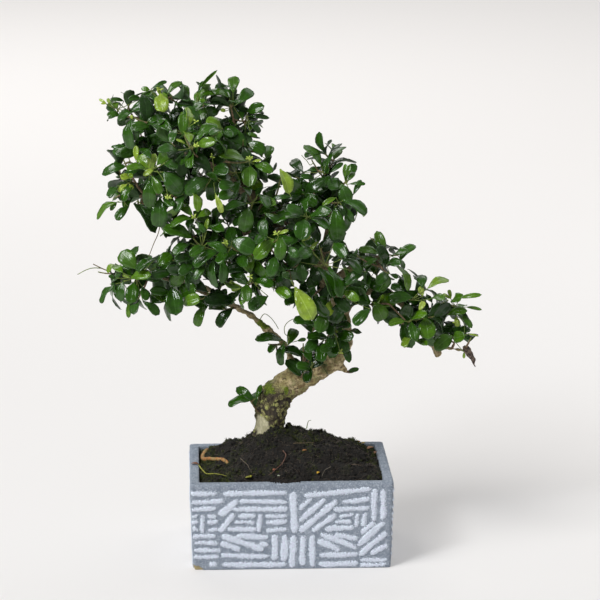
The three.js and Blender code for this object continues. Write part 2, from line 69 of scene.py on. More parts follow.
def node(tree, kind, inputs=None, **settings):
    """A new node with its settings and inputs"""
    made = tree.nodes.new(kind)
    for name, value in settings.items():
        setattr(made, name, value)
    for key, value in (inputs or {}).items():
        put(tree, value, made.inputs[key])
    return made


def new_material(name):
    material = bpy.data.materials.new(name)
    material.use_nodes = True
    material.node_tree.nodes.clear()
    return material, material.node_tree


def principled(tree, **inputs):
    shader = node(tree, "ShaderNodeBsdfPrincipled", {k.replace("_", " "): v for k, v in inputs.items()})
    node(tree, "ShaderNodeOutputMaterial", {"Surface": shader.outputs["BSDF"]})


def linked(thing, name, material=None):
    """A new object in the scene, with its material if it has one"""
    made = bpy.data.objects.new(name, thing)
    bpy.context.scene.collection.objects.link(made)
    if material:
        made.data.materials.append(material)
    return made


CAMERA_PLACE = (-0.0928, -2.2993, 0.7621)
CAMERA_AIM = (0.0437, 0.9745, -0.2201)
FLOOR_REACH = 12
camera = linked(bpy.data.cameras.new("camera"), "camera")
camera.data.sensor_width = 36
camera.data.lens = 150.46
camera.location = CAMERA_PLACE
camera.rotation_euler = Vector(CAMERA_AIM).to_track_quat("-Z", "Y").to_euler()
bpy.context.scene.camera = camera

floor_paper, tree = new_material("floor_paper")
principled(tree, Base_Color=(0.62, 0.607, 0.601, 1), Roughness=0.9,
           Emission_Color=(1, 0.98, 0.97, 1), Emission_Strength=0.23)
floor_mesh = bpy.data.meshes.new("floor")
floor_corners = [(x * FLOOR_REACH, y * FLOOR_REACH, 0) for x, y in ((-1, -1), (1, -1), (1, 1), (-1, 1))]
floor_mesh.from_pydata(floor_corners, [], [(0, 1, 2, 3)])
floor = linked(floor_mesh, "floor", floor_paper)


def soft_light(name, place, aim, size, power, colour):
    lamp = linked(bpy.data.lights.new(name, "AREA"), name)
    lamp.data.size = size
    lamp.data.energy = power
    lamp.data.color = colour
    lamp.location = place
    lamp.visible_camera = False
    lamp.rotation_euler = (Vector(aim) - Vector(place)).to_track_quat("-Z", "Y").to_euler()


TREE_MIDDLE = (0, 0, 0.24)
DAYLIGHT_FROM = (-0.62, -0.5, 0.95)
daylight = linked(bpy.data.lights.new("daylight", "SUN"), "daylight")
daylight.data.energy = 1.8
daylight.data.angle = math.radians(30)
daylight.data.color = (1, 0.99, 0.97)
daylight.rotation_euler = (-Vector(DAYLIGHT_FROM)).to_track_quat("-Z", "Y").to_euler()
soft_light("window", (-1.15, -1.3, 1.5), TREE_MIDDLE, size=0.42, power=15, colour=(0.93, 0.97, 1))
soft_light("far_window", (-0.7, 3.2, 2.6), (-0.7, 3.2, 0), size=2.6, power=46, colour=(1, 0.99, 0.97))
soft_light("back_window", (1.3, 0.9, 1.7), (0.3, 0.1, 0), size=1.4, power=8.5, colour=(0.95, 0.98, 1))
sky = bpy.data.worlds.new("sky")
sky.use_nodes = True
sky.node_tree.nodes["Background"].inputs["Color"].default_value = (1, 0.985, 0.975, 1)
sky.node_tree.nodes["Background"].inputs["Strength"].default_value = 0.24
bpy.context.scene.world = sky
bpy.context.scene.view_settings.view_transform = "Standard"


# THE POT. A rectangular box cast in grey cement. Its maker cut the pattern by hand, so the strokes that
# stand up between the cuts are uneven, and brushed thin white paint over them. One low corner is chipped.
POT = {"width": 190, "depth": 140, "height": 84, "wall": 9, "floor": 9, "corner": 3, "draw_in": 2.2}
STROKE_RAISED = 0.9
CHIP = {"x": -92, "z": 0.5, "wide": 9.5, "high": 4.6, "deep": 1.3}
WALL_STEPS = (240, 128, 170, 128)
CORNER_STEPS = 6
# The strokes of the front, cell by cell from the upper left. Each is [along, up, along, up, width], the first
# four measured from the wall's lower left corner to the stroke's two ends.
FRONT_STROKES = [
    (0.5, 75.5, 24.5, 75, 3.5), (1.5, 67, 31, 67.5, 3.5), (0.5, 60, 23.5, 60, 3.3),
    (31.5, 74.5, 89.5, 74.5, 4), (46.5, 66.5, 89.5, 66, 3.5), (39.5, 59, 90.5, 59.5, 4),
    (27, 54, 44, 68.5, 5.3), (26.5, 38.5, 40.5, 54.5, 4.7),
    (0.5, 53, 6, 53, 2.6), (0.5, 47, 6, 47, 2.6), (1, 41, 6, 40, 2.8), (10, 54.5, 10.5, 37.5, 3.3),
    (15.5, 53, 23.5, 53, 3), (15.5, 47.5, 25, 47.5, 3.5), (15.5, 40, 24.5, 39.5, 2.8),
    (45, 52.5, 60.5, 52.5, 3.5), (41, 46.5, 59.5, 46, 2.6), (34, 39.5, 61, 40, 3.7), (64.5, 54, 64, 37, 3.5),
    (70.5, 52.5, 89.5, 52.5, 3), (70.5, 46.5, 89.5, 46.5, 3.7), (70.5, 38.5, 90.5, 38.5, 3),
    (1.5, 33, 22.5, 33, 3.5), (2.5, 26.5, 24, 26.5, 3), (2, 19.5, 27, 19.5, 3.3), (1.5, 13, 24.5, 13.5, 3.3),
    (15.5, 6, 23, 6, 4), (29, 34, 67, 19, 4.9), (27.5, 26.5, 44.5, 19, 4.7), (41.5, 32.5, 72, 31.5, 4),
    (64, 24.5, 72, 25, 3.3), (27.5, 14.5, 72.5, 13, 3.7), (28, 5.5, 89, 4.5, 4),
    (96, 75.5, 96.5, 36, 5.8), (78.5, 33.5, 77.5, 10, 5.6), (87.5, 34, 87, 8, 5.8), (95.5, 32.5, 95, 2, 5.4),
    (105, 32.5, 105, 4, 4.9), (114, 33.5, 114.5, 2, 4.9),
    (106.5, 72.5, 168, 77, 4), (101.5, 59, 113.5, 68.5, 3.7), (102, 46.5, 126, 68, 4.4),
    (103, 36.5, 137, 67, 4.9), (115, 37, 135, 53, 4.4),
    (142, 65, 167, 68, 3.5), (133.5, 58.5, 166.5, 58.5, 3.5), (140, 51.5, 152.5, 52, 2.6),
    (136, 45.5, 150.5, 45.5, 3), (126.5, 38.5, 152.5, 40, 4.2),
    (155.5, 53.5, 156, 41, 3), (163.5, 55, 162.5, 42, 3.5), (172, 77.5, 171.5, 47, 4.4),
    (180, 76.5, 180, 48.5, 4.7),
    (122, 34, 156, 19.5, 4.4), (119, 27, 140.5, 18, 5.1), (135.5, 32.5, 156.5, 29.5, 4.2),
    (121.5, 13, 157, 14, 4.2), (120.5, 4.5, 157, 4.5, 4),
    (160, 35, 173, 44, 4), (157.5, 22.5, 182, 44.5, 5.4), (160, 13, 184, 34, 4.7), (171, 13.5, 185.5, 22.5, 4.7),
    (160.5, 7.5, 185, 8, 3), (160, 3, 184.5, 3.5, 3),
]
# A short wall has the cells left of the first place and right of the second.
SHORT_WALL_CELLS = (92, 142)


def mix(a, b, share):
    return a + (b - a) * share


def smooth(low, high, value):
    share = np.clip((value - low) / (high - low), 0, 1)
    return share * share * (3 - 2 * share)


def noise_over(points, size, shift=0.0):
    """Smooth noise at each of the points, in millimetres, with features of that size"""
    places = np.asarray(points, float) / size + shift
    return np.array([noise.noise(Vector(place)) for place in places])


def drift(points, size, shifts=(1, 2, 3)):
    """A way to move each of the points, drawn by noise for each axis"""
    return np.stack([noise_over(points, size, shift) for shift in shifts], -1)


def wall_strokes(wall):
    """The strokes of one wall: the front's as they are, on the back mirrored, and fewer on the short walls"""
    left_end, right_start = SHORT_WALL_CELLS
    missing = POT["width"] - POT["depth"]
    for x0, y0, x1, y1, width in FRONT_STROKES:
        if wall == 0:
            yield x0, y0, x1, y1, width
        elif wall == 2:
            yield POT["width"] - x0, y0, POT["width"] - x1, y1, width
        elif max(x0, x1) < left_end:
            yield x0, y0, x1, y1, width
        elif min(x0, x1) > right_start:
            yield x0 - missing, y0, x1 - missing, y1, width


def stroke_share(u, v, strokes, wobble):
    """How far each place on a wall stands on a stroke, from 0 beside it to 1 on its flat top, and how much
    of the brush's paint it has caught"""
    raised, painted = np.zeros_like(u), np.zeros_like(u)
    for number, (x0, y0, x1, y1, width) in enumerate(strokes):
        length = math.hypot(x1 - x0, y1 - y0)
        along_x, along_y = (x1 - x0) / length, (y1 - y0) / length
        along = (u - x0) * along_x + (v - y0) * along_y
        aside = (v - y0) * along_x - (u - x0) * along_y
        bow = 0.5 * np.sin(along / length * 3 + number) - 0.25
        swell = 1 + 0.14 * np.sin(along * 0.22 + number * 2.1) - 0.3 * np.abs(2 * along / length - 1) ** 5
        past_end = np.maximum(np.abs(along - length / 2) - (length / 2 - 0.4 * width), 0)
        gap = 0.52 * width * swell - np.hypot(aside + bow, past_end * 0.9) + wobble
        raised = np.maximum(raised, smooth(-0.45, 0.65, gap))
        painted = np.maximum(painted, smooth(-1.7, 1.1, gap))
    return raised, painted


def pot_outline():
    """Points round the pot at its rim, with each one's wall and its distance along that wall"""
    x, y, corner = POT["width"] / 2, POT["depth"] / 2, POT["corner"]
    rows = []
    for wall, steps in enumerate(WALL_STEPS):
        length = POT["width"] if wall % 2 == 0 else POT["depth"]
        turn = wall * math.pi / 2
        out = y if wall % 2 == 0 else x
        for k in range(steps):
            along = corner + (length - 2 * corner) * k / steps
            rows.append((along - length / 2, -out, turn, wall, along))
        for k in range(CORNER_STEPS):
            bend = math.pi / 2 * k / CORNER_STEPS
            centre = length / 2 - corner
            round_corner = (centre + corner * math.sin(bend), -out + corner - corner * math.cos(bend), turn)
            if k < CORNER_STEPS / 2:
                rows.append((*round_corner, wall, length - corner + corner * math.sin(bend)))
            else:
                rows.append((*round_corner, (wall + 1) % 4, corner - corner * math.cos(bend)))
    table = np.array(rows)
    cos, sin = np.cos(table[:, 2]), np.sin(table[:, 2])
    x_out = table[:, 0] * cos - table[:, 1] * sin
    y_out = table[:, 0] * sin + table[:, 1] * cos
    return x_out, y_out, table[:, 3].astype(int), table[:, 4]


def grid_faces(rows, columns, closed=True):
    """The faces between the points of a grid, which is closed round its columns or open"""
    row, column = np.meshgrid(np.arange(rows - 1), np.arange(columns if closed else columns - 1), indexing="ij")
    after = (column + 1) % columns
    a, b = row * columns + column, row * columns + after
    return np.stack([a, b, b + columns, a + columns], -1).reshape(-1, 4)


def grid_rim(rows, columns):
    """The points round the edge of an open grid, in order"""
    count = rows * columns
    there = [*range(columns), *[(r + 1) * columns - 1 for r in range(1, rows)]]
    return there + [*range(count - 2, count - columns - 1, -1), *[r * columns for r in range(rows - 2, 0, -1)]]


def slab_faces(rows, columns, flipped=False):
    """The faces of a thin sheet, whose points are the grid of its one side and then that of its other"""
    count, rim = rows * columns, grid_rim(rows, columns)
    sheet = grid_faces(rows, columns, closed=False).tolist()
    faces = [face[::-1] for face in sheet] + [[count + index for index in face] for face in sheet]
    faces += [[a, b, count + b, count + a] for a, b in zip(rim, rim[1:] + rim[:1])]
    return [face[::-1] for face in faces] if flipped else faces


def give_values(mesh, values):
    """Named values for the points of a mesh, each list of whole numbers, of numbers or of vectors"""
    for key, numbers in values.items():
        numbers = np.asarray(numbers)
        whole = numbers.dtype.kind == "i"
        kind = "FLOAT_VECTOR" if numbers.ndim > 1 else "INT" if whole else "FLOAT"
        data = mesh.attributes.new(key, kind, "POINT").data
        flat = numbers.astype(np.int32 if whole else np.float32).ravel()
        data.foreach_set("vector" if kind == "FLOAT_VECTOR" else "value", flat)


def mesh_from(name, points, faces, values=None):
    """A smooth mesh from points in millimetres and faces, with its named values at the points"""
    mesh = bpy.data.meshes.new(name)
    mesh.from_pydata((np.asarray(points) * MM).tolist(), [], [list(map(int, face)) for face in faces])
    give_values(mesh, values or {})
    mesh.shade_smooth()
    mesh.update()
    return mesh


def pot_mesh():
    """The pot as one skin, from its foot up the outside, over the rim and down the inside"""
    x_out, y_out, wall, along = pot_outline()
    columns = len(x_out)
    rises = np.linspace(1.2, 82.4, 104)
    height = POT["height"]
    profile = [(0.9, 0), (0.25, 0.35), *[(0, z) for z in rises], (0.15, 83.1), (0.55, 83.7), (1.3, height)]
    profile += [(o, height) for o in (3, 4.5, 6, 7.6)]
    profile += [(8.5, 83.7), (8.9, 83.1), *[(9, z) for z in (82, 80, 77, 73, 68, 50, 30, POT["floor"])]]
    inset = np.array([p[0] for p in profile])[:, None]
    up = np.array([p[1] for p in profile])[:, None]
    lean = POT["draw_in"] * (1 - up / height)
    half_x, half_y = POT["width"] / 2, POT["depth"] / 2
    x = x_out * (1 - (lean + inset) / half_x)
    y = y_out * (1 - (lean + inset) / half_y)
    points = np.stack([x, y, np.broadcast_to(up, x.shape)], -1)

    def rough(height, size, shift=0):
        return height * noise_over(points.reshape(-1, 3), size, shift).reshape(x.shape)

    wobble = rough(0.5, 2.6) + rough(0.25, 8, 5) + rough(0.12, 1.5, 12)
    stroke, wash = np.zeros(x.shape), np.zeros(x.shape)
    on_wall = (inset < 0.01).ravel()
    for side in range(4):
        pick = np.ix_(on_wall, wall == side)
        u = np.broadcast_to(along, x.shape)[pick]
        v = np.broadcast_to(up, x.shape)[pick]
        stroke[pick], wash[pick] = stroke_share(u, v, wall_strokes(side), wobble[pick])
    uneven, grit = rough(0.28, 17, 2), rough(0.16, 1.9, 9)
    outside = (inset < 2).astype(float)
    from_chip = np.hypot((x - CHIP["x"]) / CHIP["wide"], (points[..., 2] - CHIP["z"]) / CHIP["high"])
    chip = np.where(y < -60, 1 - smooth(0.75, 1.05, from_chip + 0.35 * wobble), 0)
    out = outside * (stroke * STROKE_RAISED * (0.9 + 0.4 * wobble) - 0.25 + uneven + grit) - chip * CHIP["deep"]
    ring = np.stack([x_out, y_out], -1)
    edge = np.roll(ring, -1, 0) - np.roll(ring, 1, 0)
    normal = np.stack([edge[:, 1], -edge[:, 0]], -1) / np.linalg.norm(edge, axis=1)[:, None]
    points[..., 0] += out * normal[:, 0]
    points[..., 1] += out * normal[:, 1]
    on_rim = ((up > 82.8) & (inset > 0.1) & (inset < 8.8)).astype(float)
    points[..., 2] += on_rim * (0.5 * uneven + grit - 0.1)
    faces = grid_faces(len(profile), columns).tolist()
    last = (len(profile) - 1) * columns
    flat = np.vstack([points.reshape(-1, 3), [0, 0, 0], [0, 0, POT["floor"]]])
    under, bed = len(flat) - 2, len(flat) - 1
    for k in range(columns):
        after = (k + 1) % columns
        faces.append([under, after, k])
        faces.append([bed, last + k, last + after])
    values = {"wash": np.append(wash * outside, [0, 0]), "chip": np.append(chip, [0, 0])}
    return mesh_from("pot_cast", flat, faces, values)


def sum_of(tree, a, b, operation="ADD", clamp=False):
    """The sum of two values, or what another operation makes of them"""
    return node(tree, "ShaderNodeMath", {0: a, 1: b}, operation=operation, use_clamp=clamp).outputs[0]


def ramp_between(tree, value, low, high, start=0.0, end=1.0):
    inputs = {"Value": value, "From Min": low, "From Max": high, "To Min": start, "To Max": end}
    return node(tree, "ShaderNodeMapRange", inputs, interpolation_type="SMOOTHSTEP").outputs["Result"]


# Blotches: a mask of soft noise patches of a size in millimetres
blotches = bpy.data.node_groups.new("blotches", "ShaderNodeTree")
for label in ("Place", "Size", "Low", "High", "Shift"):
    kind = "NodeSocketVector" if label == "Place" else "NodeSocketFloat"
    blotches.interface.new_socket(label, in_out="INPUT", socket_type=kind)
blotches.interface.new_socket("Mask", in_out="OUTPUT", socket_type="NodeSocketFloat")
given = blotches.nodes.new("NodeGroupInput").outputs
result = blotches.nodes.new("NodeGroupOutput").inputs
per_size = sum_of(blotches, 1 / MM, given["Size"], "DIVIDE")
scaled = node(blotches, "ShaderNodeVectorMath", {0: given["Place"], "Scale": per_size}, operation="SCALE")
shifted = node(blotches, "ShaderNodeVectorMath", {0: scaled.outputs[0], 1: given["Shift"]}, operation="ADD")
cloud = node(
    blotches, "ShaderNodeTexNoise", {"Vector": shifted.outputs[0], "Scale": 1.0, "Detail": 4.0, "Roughness": 0.6}
)
blotches.links.new(ramp_between(blotches, cloud.outputs["Fac"], given["Low"], given["High"]), result["Mask"])


def blotched(tree, size, low, high, shift=0.0):
    """The mask of the blotches in a material, laid out on the piece's own coordinates"""
    place = node(tree, "ShaderNodeTexCoord").outputs["Object"]
    values = {"Place": place, "Size": size, "Low": low, "High": high, "Shift": shift}
    return node(tree, "ShaderNodeGroup", values, node_tree=blotches).outputs[0]


def blend(tree, share, first, second):
    """A colour between two others, each a plain colour or another node's output"""
    made = node(tree, "ShaderNodeMix", data_type="RGBA")
    colours = [s for s in made.inputs if s.type == "RGBA"]
    for socket, value in zip(colours, (first, second)):
        put(tree, (*value, 1) if isinstance(value, tuple) else value, socket)
    put(tree, share, next(s for s in made.inputs if s.name == "Factor" and s.type == "VALUE"))
    return next(s for s in made.outputs if s.type == "RGBA")


def bumped(tree, height, depth):
    """Normals from a height that runs from 0 to 1, its full depth given in millimetres"""
    return node(tree, "ShaderNodeBump", {"Height": height, "Distance": depth * MM, "Strength": 1.0}).outputs[0]


def attribute(tree, name):
    return node(tree, "ShaderNodeAttribute", attribute_name=name, attribute_type="GEOMETRY").outputs["Fac"]


cement, tree = new_material("cement_whitewashed")
speck = blotched(tree, size=0.95, low=0.4, high=0.6)
worn = blotched(tree, size=5.0, low=0.35, high=0.62, shift=7.0)
grey = blend(tree, worn, (0.2, 0.24, 0.3), (0.28, 0.32, 0.385))
dots = blotched(tree, size=1.3, low=0.5, high=0.64, shift=15.0)
grey = blend(tree, dots, grey, (0.44, 0.49, 0.57))
dry = blotched(tree, size=2.0, low=0.36, high=0.64, shift=11.0)
tinted = blend(tree, dry, (0.82, 0.84, 1.0), (0.8, 0.91, 1.0))
paint = blend(tree, speck, (0.62, 0.67, 0.78), tinted)
caught = sum_of(tree, ramp_between(tree, speck, 0, 1, -0.27, 0.27), ramp_between(tree, dry, 0, 1, -0.13, 0.13))
brushed = sum_of(tree, attribute(tree, "wash"), caught)
colour = blend(tree, ramp_between(tree, brushed, 0.37, 0.63), grey, paint)
colour = blend(tree, attribute(tree, "chip"), colour, (0.4, 0.33, 0.17))
pits = blotched(tree, size=1.3, low=0.3, high=0.7, shift=3.0)
principled(tree, Base_Color=colour, Roughness=ramp_between(tree, worn, 0, 1, 0.78, 0.95),
           Normal=bumped(tree, pits, 0.35))
pot = linked(pot_mesh(), "pot_cast", cement)
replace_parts(pot, "pot")
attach(pot, "root")


# THE SOIL. Peaty earth fills the pot and heaps up to the trunk. It is dark and crumbly, matted with fine
# roots, and moss has grown over the left side and on the edges of the heap.
SOIL = {"edge": 80, "rise": 35, "peak_x": 3, "peak_y": 5, "reach_x": 90, "reach_y": 66, "lump": 1.6}
SOIL_STEP = 1.15
# Each lump or hollow is [x, y, its reach along x, its reach along y, how high it stands]
SOIL_LUMPS = [
    (-64, 22, 14, 18, 6), (-36, 22, 6, 8, 2), (0, 5, 5.5, 5, 9), (21, 12, 24, 22, -2.4), (43, 14, 8, 16, -3.6),
    (35.5, 8, 3.8, 4.5, 6.5), (67, 27, 8, 14, 2.5), (-18, -14, 14, 9, 9), (-31, -12, 10, 9, 5.5),
    (-2, -12, 7, 7, 3), (-6, -56, 11, 7, 5),
]


def soil_height(x, y):
    """How high the plain heap stands, without its lumps and crumbs"""
    across_x = np.maximum(0, 1 - ((x - SOIL["peak_x"]) / SOIL["reach_x"]) ** 2)
    across_y = np.maximum(0, 1 - ((y - SOIL["peak_y"]) / SOIL["reach_y"]) ** 2)
    heap = across_x**1.3 * across_y**1.1
    small = np.sin(x * 0.21 + 1.3) * np.cos(y * 0.27 + x * 0.05)
    lumps = small + 0.6 * np.sin(x * 0.11 - y * 0.19)
    return SOIL["edge"] + SOIL["rise"] * heap + SOIL["lump"] * lumps * (0.35 + heap)


def soil_mesh():
    half_x, half_y = POT["width"] / 2 - POT["wall"] - 0.3, POT["depth"] / 2 - POT["wall"] - 0.3
    columns, rows = int(2 * half_x / SOIL_STEP), int(2 * half_y / SOIL_STEP)
    x, y = np.meshgrid(np.linspace(-half_x, half_x, columns), np.linspace(-half_y, half_y, rows))
    z = soil_height(x, y)
    for peak_x, peak_y, wide, deep, rise in SOIL_LUMPS:
        z += rise * np.exp(-(((x - peak_x) / wide) ** 2) - ((y - peak_y) / deep) ** 2)
    flat = np.stack([x, y, z], -1).reshape(-1, 3)
    clods = noise_over(flat * (1, 1, 0.6), 7.5, 3)
    crumbs = noise_over(flat, 2.6, 8)
    fine = noise_over(flat, 1.3, 1)
    flat[:, 2] += 4.6 * clods + 1.6 * noise_over(flat, 14, 6) + 3.4 * np.abs(crumbs) + 0.8 * fine - 1.8
    near_wall = np.minimum(half_x - np.abs(flat[:, 0]), half_y - np.abs(flat[:, 1]))
    flat[:, 2] -= 1.6 * np.exp(-near_wall / 2.5)
    flat[:, 2] = np.minimum(flat[:, 2], np.where(near_wall < 1.5, POT["height"] - 1.2, 999))
    left = smooth(-38, -66, flat[:, 0]) * smooth(-8, -38, flat[:, 1])
    left = np.maximum(left, smooth(-66, -76, flat[:, 0]))
    back = smooth(10, 30, flat[:, 1]) * 0.8
    collar = np.exp(-((np.hypot(flat[:, 0] + 18, flat[:, 1] - 2) - 16) / 5) ** 2)
    patchy = smooth(-0.15, 0.35, noise_over(flat, 13, 4))
    crest = 0.55 * smooth(103, 115, flat[:, 2] + 0.25 * np.minimum(flat[:, 0], 0) + 6 * patchy - 3)
    moss = np.maximum.reduce([left, back, crest, 0.9 * collar, 0.24 * patchy])
    moss = np.clip(moss * (0.35 + 0.8 * patchy), 0, 1)
    faces = grid_faces(rows, columns, closed=False).tolist()
    edge = grid_rim(rows, columns)
    under = flat[edge] * (0.975, 0.965, 0) + (0, 0, POT["floor"] + 1)
    first = len(flat)
    count = len(edge)
    faces += [[first + k, first + (k + 1) % count, edge[(k + 1) % count], edge[k]] for k in range(count)]
    faces += [[first + count, first + (k + 1) % count, first + k] for k in range(count)]
    flat = np.vstack([flat, under, [0, 0, POT["floor"] + 1]])
    moss = np.append(moss, np.zeros(count + 1))
    bare = np.append(1 - moss[:first], np.zeros(count + 1))
    return mesh_from("soil_heap", flat, faces, {"moss": moss, "bare": bare})


peat, tree = new_material("peat")
clotted = blotched(tree, size=9.0, low=0.38, high=0.62)
crumbly = blotched(tree, size=1.6, low=0.4, high=0.66, shift=2.0)
earth = blend(tree, clotted, (0.004, 0.004, 0.0037), (0.01, 0.009, 0.0085))
earth = blend(tree, crumbly, earth, (0.025, 0.019, 0.014))
mossy = blend(tree, crumbly, (0.012, 0.016, 0.006), (0.05, 0.06, 0.016))
colour = blend(tree, attribute(tree, "moss"), earth, mossy)
pores = blotched(tree, size=1.3, low=0.3, high=0.7, shift=5.0)
principled(tree, Base_Color=colour, Roughness=ramp_between(tree, clotted, 0, 1, 0.82, 0.98),
           Normal=bumped(tree, pores, 0.7))
soil = linked(soil_mesh(), "soil_heap", peat)
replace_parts(soil, "soil")
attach(soil, "root")


def geometry_tree(name, inputs):
    """An empty Geometry Nodes tree with its named inputs and their first values"""
    tree = bpy.data.node_groups.new(name, "GeometryNodeTree")
    tree.interface.new_socket("Geometry", in_out="INPUT", socket_type="NodeSocketGeometry")
    for label, (kind, value) in inputs.items():
        socket = tree.interface.new_socket(label, in_out="INPUT", socket_type="NodeSocket" + kind)
        if value is not None:
            socket.default_value = value
    tree.interface.new_socket("Geometry", in_out="OUTPUT", socket_type="NodeSocketGeometry")
    return tree, tree.nodes.new("NodeGroupInput").outputs, tree.nodes.new("NodeGroupOutput").inputs


def grown(tree, host_mesh, name, **inputs):
    """A plain mesh object of what the tree makes on a host mesh"""
    host = linked(host_mesh, name + "_host")
    modifier = host.modifiers.new(name, "NODES")
    modifier.node_group = tree
    for item in tree.interface.items_tree:
        if item.item_type == "SOCKET" and item.in_out == "INPUT" and item.name in inputs:
            modifier[item.identifier] = inputs[item.name]
    view = bpy.context.evaluated_depsgraph_get()
    made = linked(bpy.data.meshes.new_from_object(host.evaluated_get(view)), name)
    host.modifiers.remove(modifier)
    bpy.data.objects.remove(host)
    return made


def field(tree, name, kind="FLOAT"):
    """A mesh's own values of that name, for a geometry tree"""
    return node(tree, "GeometryNodeInputNamedAttribute", {"Name": name}, data_type=kind).outputs[0]


def end_tree(tree, geometry, given, result):
    """The end of a geometry tree: copies made real, with their material"""
    real = node(tree, "GeometryNodeRealizeInstances", {"Geometry": geometry})
    finished = node(tree, "GeometryNodeSetMaterial", {"Geometry": real.outputs[0], "Material": given["Finish"]})
    tree.links.new(finished.outputs[0], result["Geometry"])


HALF_TURN = 3.14

# Strewn: copies of one small piece over a surface, as many as its density and mask ask, each turned and
# sized by chance, with a tone of its own
strewn, given, result = geometry_tree(
    "strewn",
    {
        "Piece": ("Object", None),
        "Finish": ("Material", None),
        "Mask": ("String", "bare"),
        "Density": ("Float", 50000.0),
        "Seed": ("Int", 1),
        "Smallest": ("Float", 0.001),
        "Largest": ("Float", 0.002),
        "Tilt": ("Float", HALF_TURN),
    },
)
density = sum_of(strewn, field(strewn, given["Mask"]), given["Density"], "MULTIPLY")
spread = node(
    strewn,
    "GeometryNodeDistributePointsOnFaces",
    {"Mesh": given["Geometry"], "Density": density, "Seed": given["Seed"]},
    distribute_method="RANDOM",
)
sizes = node(strewn, "FunctionNodeRandomValue", {2: given["Smallest"], 3: given["Largest"]}, data_type="FLOAT")
tilt_back = sum_of(strewn, given["Tilt"], -1.0, "MULTIPLY")
lowest = node(strewn, "ShaderNodeCombineXYZ", {"X": tilt_back, "Y": tilt_back, "Z": -HALF_TURN}).outputs[0]
highest = node(
    strewn, "ShaderNodeCombineXYZ", {"X": given["Tilt"], "Y": given["Tilt"], "Z": HALF_TURN}
).outputs[0]
turns = node(strewn, "FunctionNodeRandomValue", {0: lowest, 1: highest, "Seed": 4}, data_type="FLOAT_VECTOR")
tone = node(strewn, "FunctionNodeRandomValue", {2: 0.0, 3: 1.0, "Seed": 9}, data_type="FLOAT")
toned = node(
    strewn,
    "GeometryNodeStoreNamedAttribute",
    {"Geometry": spread.outputs["Points"], "Name": "tone", "Value": tone.outputs[1]},
    data_type="FLOAT",
    domain="POINT",
)
chosen = node(strewn, "GeometryNodeObjectInfo", {"Object": given["Piece"]})
placed = node(
    strewn,
    "GeometryNodeInstanceOnPoints",
    {
        "Points": toned.outputs[0],
        "Instance": chosen.outputs["Geometry"],
        "Rotation": turns.outputs[0],
        "Scale": sizes.outputs[1],
    },
)
end_tree(strewn, placed.outputs[0], given, result)

# A crumb is a knobbly grain, a fibre is a bent fine root, and a moss tuft is a few short pointed shoots.
crumb_shape = bpy.data.meshes.new("crumb_shape")
crumb_points = [
    (0, 0, 1), (0.9, 0, 0.3), (0.2, 0.8, 0.4), (-0.8, 0.4, 0.2), (-0.6, -0.7, 0.5), (0.4, -0.9, 0.2),
    (0.7, 0.4, -0.5), (-0.3, 0.9, -0.4), (-0.9, -0.2, -0.4), (0.1, -0.8, -0.6), (0, 0, -0.9),
]
crumb_faces = [
    (0, 1, 2), (0, 2, 3), (0, 3, 4), (0, 4, 5), (0, 5, 1), (1, 6, 2), (2, 6, 7), (2, 7, 3), (3, 7, 8),
    (3, 8, 4), (4, 8, 9), (4, 9, 5), (5, 9, 6), (5, 6, 1), (6, 10, 7), (7, 10, 8), (8, 10, 9), (9, 10, 6),
]
crumb_shape.from_pydata(crumb_points, [], crumb_faces)
crumb_shape.shade_smooth()


def tube_faces(rings, sides):
    """The faces of a closed tube, whose last two points are the middles of its ends"""
    foot, head, last = rings * sides, rings * sides + 1, (rings - 1) * sides
    faces = grid_faces(rings, sides).tolist()
    faces += [[foot, (k + 1) % sides, k] for k in range(sides)]
    faces += [[head, last + k, last + (k + 1) % sides] for k in range(sides)]
    return faces


# The way across every tube at its foot, before it is turned square to the tube's path
FIRST_ACROSS = (0.31, -0.93, 0.2)


def swept(path, radii, sides, round_out=None):
    """Points and faces of a closed tube along a path, round or as its own rule makes its section"""
    path = np.asarray(path, float)
    count = len(path)
    along = np.gradient(path, axis=0)
    along /= np.linalg.norm(along, axis=1)[:, None]
    across = np.array(FIRST_ACROSS, float)
    turn = 2 * np.pi * np.arange(sides) / sides
    rings = []
    for k in range(count):
        across = across - across.dot(along[k]) * along[k]
        across /= np.linalg.norm(across)
        side = np.cross(along[k], across)
        shape = 1 if round_out is None else round_out(k / (count - 1), turn)
        out = np.cos(turn)[:, None] * across + np.sin(turn)[:, None] * side
        rings.append(path[k] + out * (radii[k] * shape * np.ones(sides))[:, None])
    return np.vstack([np.concatenate(rings), path[0], path[-1]]), tube_faces(count, sides)


def joined(parts):
    """Several pieces' points and faces as those of one"""
    points, faces, count = [], [], 0
    for part_points, part_faces in parts:
        points.append(part_points)
        faces += [[count + index for index in face] for face in part_faces]
        count += len(part_points)
    return np.vstack(points), faces


def template(name, points, faces):
    """A small piece for strewing, one unit long, that is removed when the copies are made"""
    return linked(mesh_from(name, np.asarray(points) / MM, faces), name)


fibre_path = [(-0.5, 0.05, -0.1), (-0.25, -0.07, 0.12), (0, 0.02, 0.2), (0.25, 0.1, 0.14), (0.5, -0.06, -0.08)]
fibre_shape = template("fibre_shape", *swept(fibre_path, [0.012, 0.016, 0.018, 0.014, 0.008], 3))
SHOOTS_IN_TUFT = 5
tuft_parts = []
for shoot in range(SHOOTS_IN_TUFT):
    lean = 2.4 * shoot
    tip = (0.55 * math.cos(lean), 0.55 * math.sin(lean), 0.7 + 0.12 * (shoot % 3))
    root = (0.12 * math.cos(lean), 0.12 * math.sin(lean), -0.15)
    tuft_parts.append(swept([root, tip], [0.16, 0.035], 3))
tuft_shape = template("tuft_shape", *joined(tuft_parts))
crumb = linked(crumb_shape, "crumb")


